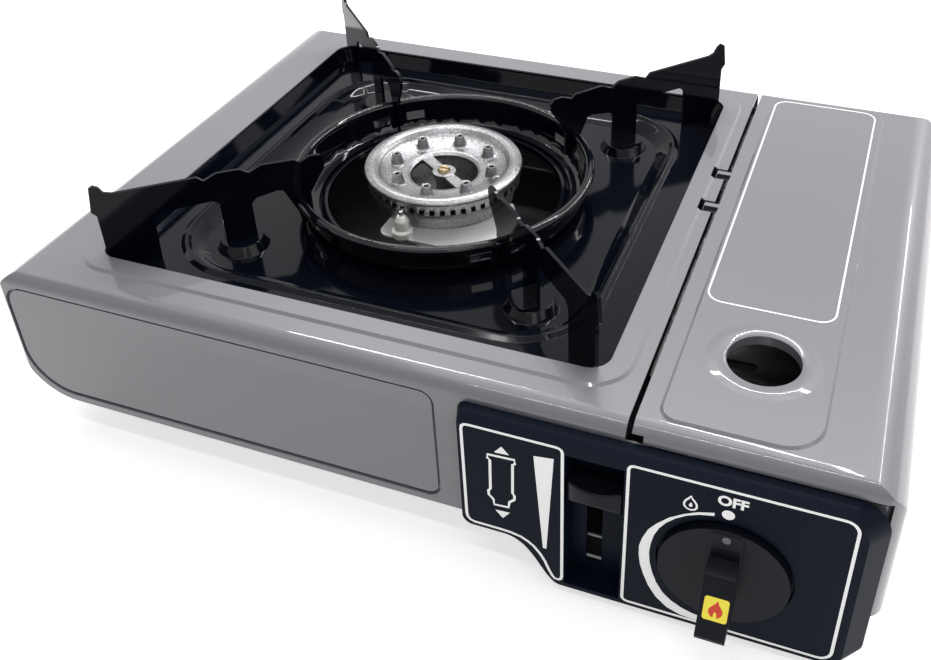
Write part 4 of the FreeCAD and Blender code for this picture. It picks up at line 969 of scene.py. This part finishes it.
def place_camera(scene):
    """The camera at the photograph's viewing angle."""
    ahead = Vector((-math.sin(AZIMUTH) * math.cos(ELEVATION),
                    math.cos(AZIMUTH) * math.cos(ELEVATION), -math.sin(ELEVATION)))
    flat = Vector((math.cos(AZIMUTH), math.sin(AZIMUTH), 0))
    tall = flat.cross(ahead)
    right = flat * math.cos(ROLL) + tall * math.sin(ROLL)
    up = -flat * math.sin(ROLL) + tall * math.cos(ROLL)
    lens = bpy.data.cameras.new("Photo Camera")
    lens.sensor_fit = "HORIZONTAL"
    lens.sensor_width = SENSOR
    lens.lens = FOCAL * SENSOR / IMAGE_W
    lens.shift_x = (IMAGE_W / 2 - ACROSS) / IMAGE_W
    lens.shift_y = (DOWN - IMAGE_H / 2) / IMAGE_W
    lens.clip_start = 0.01
    lens.clip_end = 50
    camera = bpy.data.objects.new("Photo Camera", lens)
    scene.collection.objects.link(camera)
    place = Matrix.Translation(Vector(CAMERA_PLACE) + Vector((SIDE, 0, 0)))
    camera.matrix_world = place @ turned_to(right, up, -ahead).to_4x4()
    bpy.context.scene.camera = camera


def shown_rays(tree):
    """1 for the rays that show the background: straight, mirrored or through glass."""
    path = node_of(tree, "ShaderNodeLightPath")
    glass = node_of(tree, "ShaderNodeMath", operation="MAXIMUM")
    link(tree, path.outputs["Is Glossy Ray"], glass.inputs[0])
    link(tree, path.outputs["Is Transmission Ray"], glass.inputs[1])
    shown = node_of(tree, "ShaderNodeMath", operation="MAXIMUM")
    link(tree, path.outputs["Is Camera Ray"], shown.inputs[0])
    link(tree, glass.outputs[0], shown.inputs[1])
    return shown


def lay_floor(scene, tone):
    """A pale matt floor that glows faintly where it is seen, and keeps its shadows."""
    bm = bmesh.new()
    bmesh.ops.create_grid(bm, x_segments=1, y_segments=1, size=FLOOR_HALF)
    floor = bpy.data.objects.new("Studio Floor", mesh_from(bm, "Studio Floor"))
    scene.collection.objects.link(floor)
    material, tree, shader = principled("Studio White")
    speck = node_of(tree, "ShaderNodeTexNoise")
    speck.inputs["Scale"].default_value = 30
    tint = node_of(tree, "ShaderNodeMapRange")
    tint.inputs["To Min"].default_value = tone - FLOOR_DRIFT
    tint.inputs["To Max"].default_value = tone + FLOOR_DRIFT
    link(tree, speck.outputs["Fac"], tint.inputs["Value"])
    link(tree, tint.outputs["Result"], shader.inputs["Base Color"])
    shader.inputs["Roughness"].default_value = 0.9
    glow = node_of(tree, "ShaderNodeEmission")
    glow.inputs["Strength"].default_value = FLOOR_GLOW
    lit = node_of(tree, "ShaderNodeAddShader")
    link(tree, shader.outputs[0], lit.inputs[0])
    link(tree, glow.outputs[0], lit.inputs[1])
    seen = node_of(tree, "ShaderNodeMixShader")
    link(tree, shown_rays(tree).outputs[0], seen.inputs["Fac"])
    link(tree, shader.outputs[0], seen.inputs[1])
    link(tree, lit.outputs[0], seen.inputs[2])
    link(tree, seen.outputs[0], tree.nodes["Material Output"].inputs["Surface"])
    floor.data.materials.append(material)


def light_sky(scene, strength):
    """An even sky, white where it is seen and weaker where it only lights."""
    world = bpy.data.worlds.new("Studio Sky")
    scene.world = world
    world.use_nodes = True
    tree = world.node_tree
    sky = tree.nodes["Background"]
    sky.inputs["Color"].default_value = (1, 1, 1, 1)
    seen = node_of(tree, "ShaderNodeMapRange")
    seen.inputs["To Min"].default_value = strength
    seen.inputs["To Max"].default_value = 1.0
    link(tree, shown_rays(tree).outputs[0], seen.inputs["Value"])
    link(tree, seen.outputs["Result"], sky.inputs["Strength"])


def hang_lamp(scene, name, place, along, size, power):
    """A rectangular lamp that faces the stove, its longer side along X or Y."""
    lamp = bpy.data.lights.new(name, "AREA")
    lamp.shape = "RECTANGLE"
    lamp.size, lamp.size_y = size
    lamp.energy = power
    holder = bpy.data.objects.new(name, lamp)
    scene.collection.objects.link(holder)
    holder.location = place
    back = (Vector(place) - AIM).normalized()
    line = Vector((along == "X", along == "Y", 0.0))
    line = (line - back * back.dot(line)).normalized()
    holder.rotation_euler = turned_to(line, back.cross(line), back).to_euler()


class STOVE_OT_stage(bpy.types.Operator):
    """Set the camera, the pale floor and the soft lamps"""
    bl_idname = "stove.stage"
    bl_label = "Camera and Studio"

    def execute(self, context):
        scene = context.scene
        stage = scene.stove_stage
        place_camera(scene)
        lay_floor(scene, stage.floor)
        light_sky(scene, stage.sky)
        strip, side = stage.strip, stage.side
        lamps = (("Back Strip Lamp", (-0.05, 0.62, 1.00), "X", (1.20, 0.03), strip),
                 ("Right Strip Lamp", (0.70, 0.85, 0.75), "Y", (0.90, 0.03), strip * RIGHT_STRIP),
                 ("Front Strip Lamp", (0.10, -0.55, 1.10), "X", (0.90, 0.02), strip * FRONT_STRIP),
                 ("Overhead Lamp", (-0.05, 0.12, 1.25), "X", (1.0, 1.0), stage.key),
                 ("Left Lamp", (-1.25, 0.25, 0.65), "Y", (0.7, 0.7), side * LEFT_SIDE),
                 ("Right Lamp", (1.2, -0.35, 0.75), "Y", (0.7, 0.7), side),
                 ("Front Lamp", (0.70, -1.15, 0.6), "X", (0.4, 0.4), stage.fill))
        for name, place, along, size, power in lamps:
            hang_lamp(scene, name, place, along, size, power)
        scene.view_settings.view_transform = "Standard"
        return {"FINISHED"}


OPERATORS = (STOVE_OT_stage, STOVE_OT_finishes, STOVE_OT_body, STOVE_OT_burner,
             STOVE_OT_pan_support, STOVE_OT_panel, STOVE_OT_panel_print, STOVE_OT_knob_patch,
             STOVE_OT_cover_print, STOVE_OT_cover_details, STOVE_OT_port_backs)


class STOVE_PT_dressing(bpy.types.Panel):
    """Sizes, colours and steps of the stove's dressing"""
    bl_label = "Cassette Stove"
    bl_idname = "STOVE_PT_dressing"
    bl_space_type = "VIEW_3D"
    bl_region_type = "UI"
    bl_category = "Stove"

    def draw(self, context):
        scene = context.scene
        for name, group in GROUPS:
            box = self.layout.box()
            for key in group.__annotations__:
                box.prop(getattr(scene, name), key)
        for operator in OPERATORS:
            self.layout.operator(operator.bl_idname)


GROUPS = (("stove_finish", StoveFinish), ("stove_edges", StoveEdges),
          ("stove_print", StovePrint), ("stove_burner", StoveBurner),
          ("stove_stage", StoveStage))


def register():
    for name, group in GROUPS:
        bpy.utils.register_class(group)
        setattr(bpy.types.Scene, name, PointerProperty(type=group))
    for operator in OPERATORS:
        bpy.utils.register_class(operator)
    bpy.utils.register_class(STOVE_PT_dressing)


def unregister():
    bpy.utils.unregister_class(STOVE_PT_dressing)
    for operator in reversed(OPERATORS):
        bpy.utils.unregister_class(operator)
    for name, group in reversed(GROUPS):
        delattr(bpy.types.Scene, name)
        bpy.utils.unregister_class(group)


def main():
    register()
    for operator in OPERATORS:
        group, name = operator.bl_idname.split(".")
        getattr(getattr(bpy.ops, group), name)()


if __name__ == "__main__":
    main()
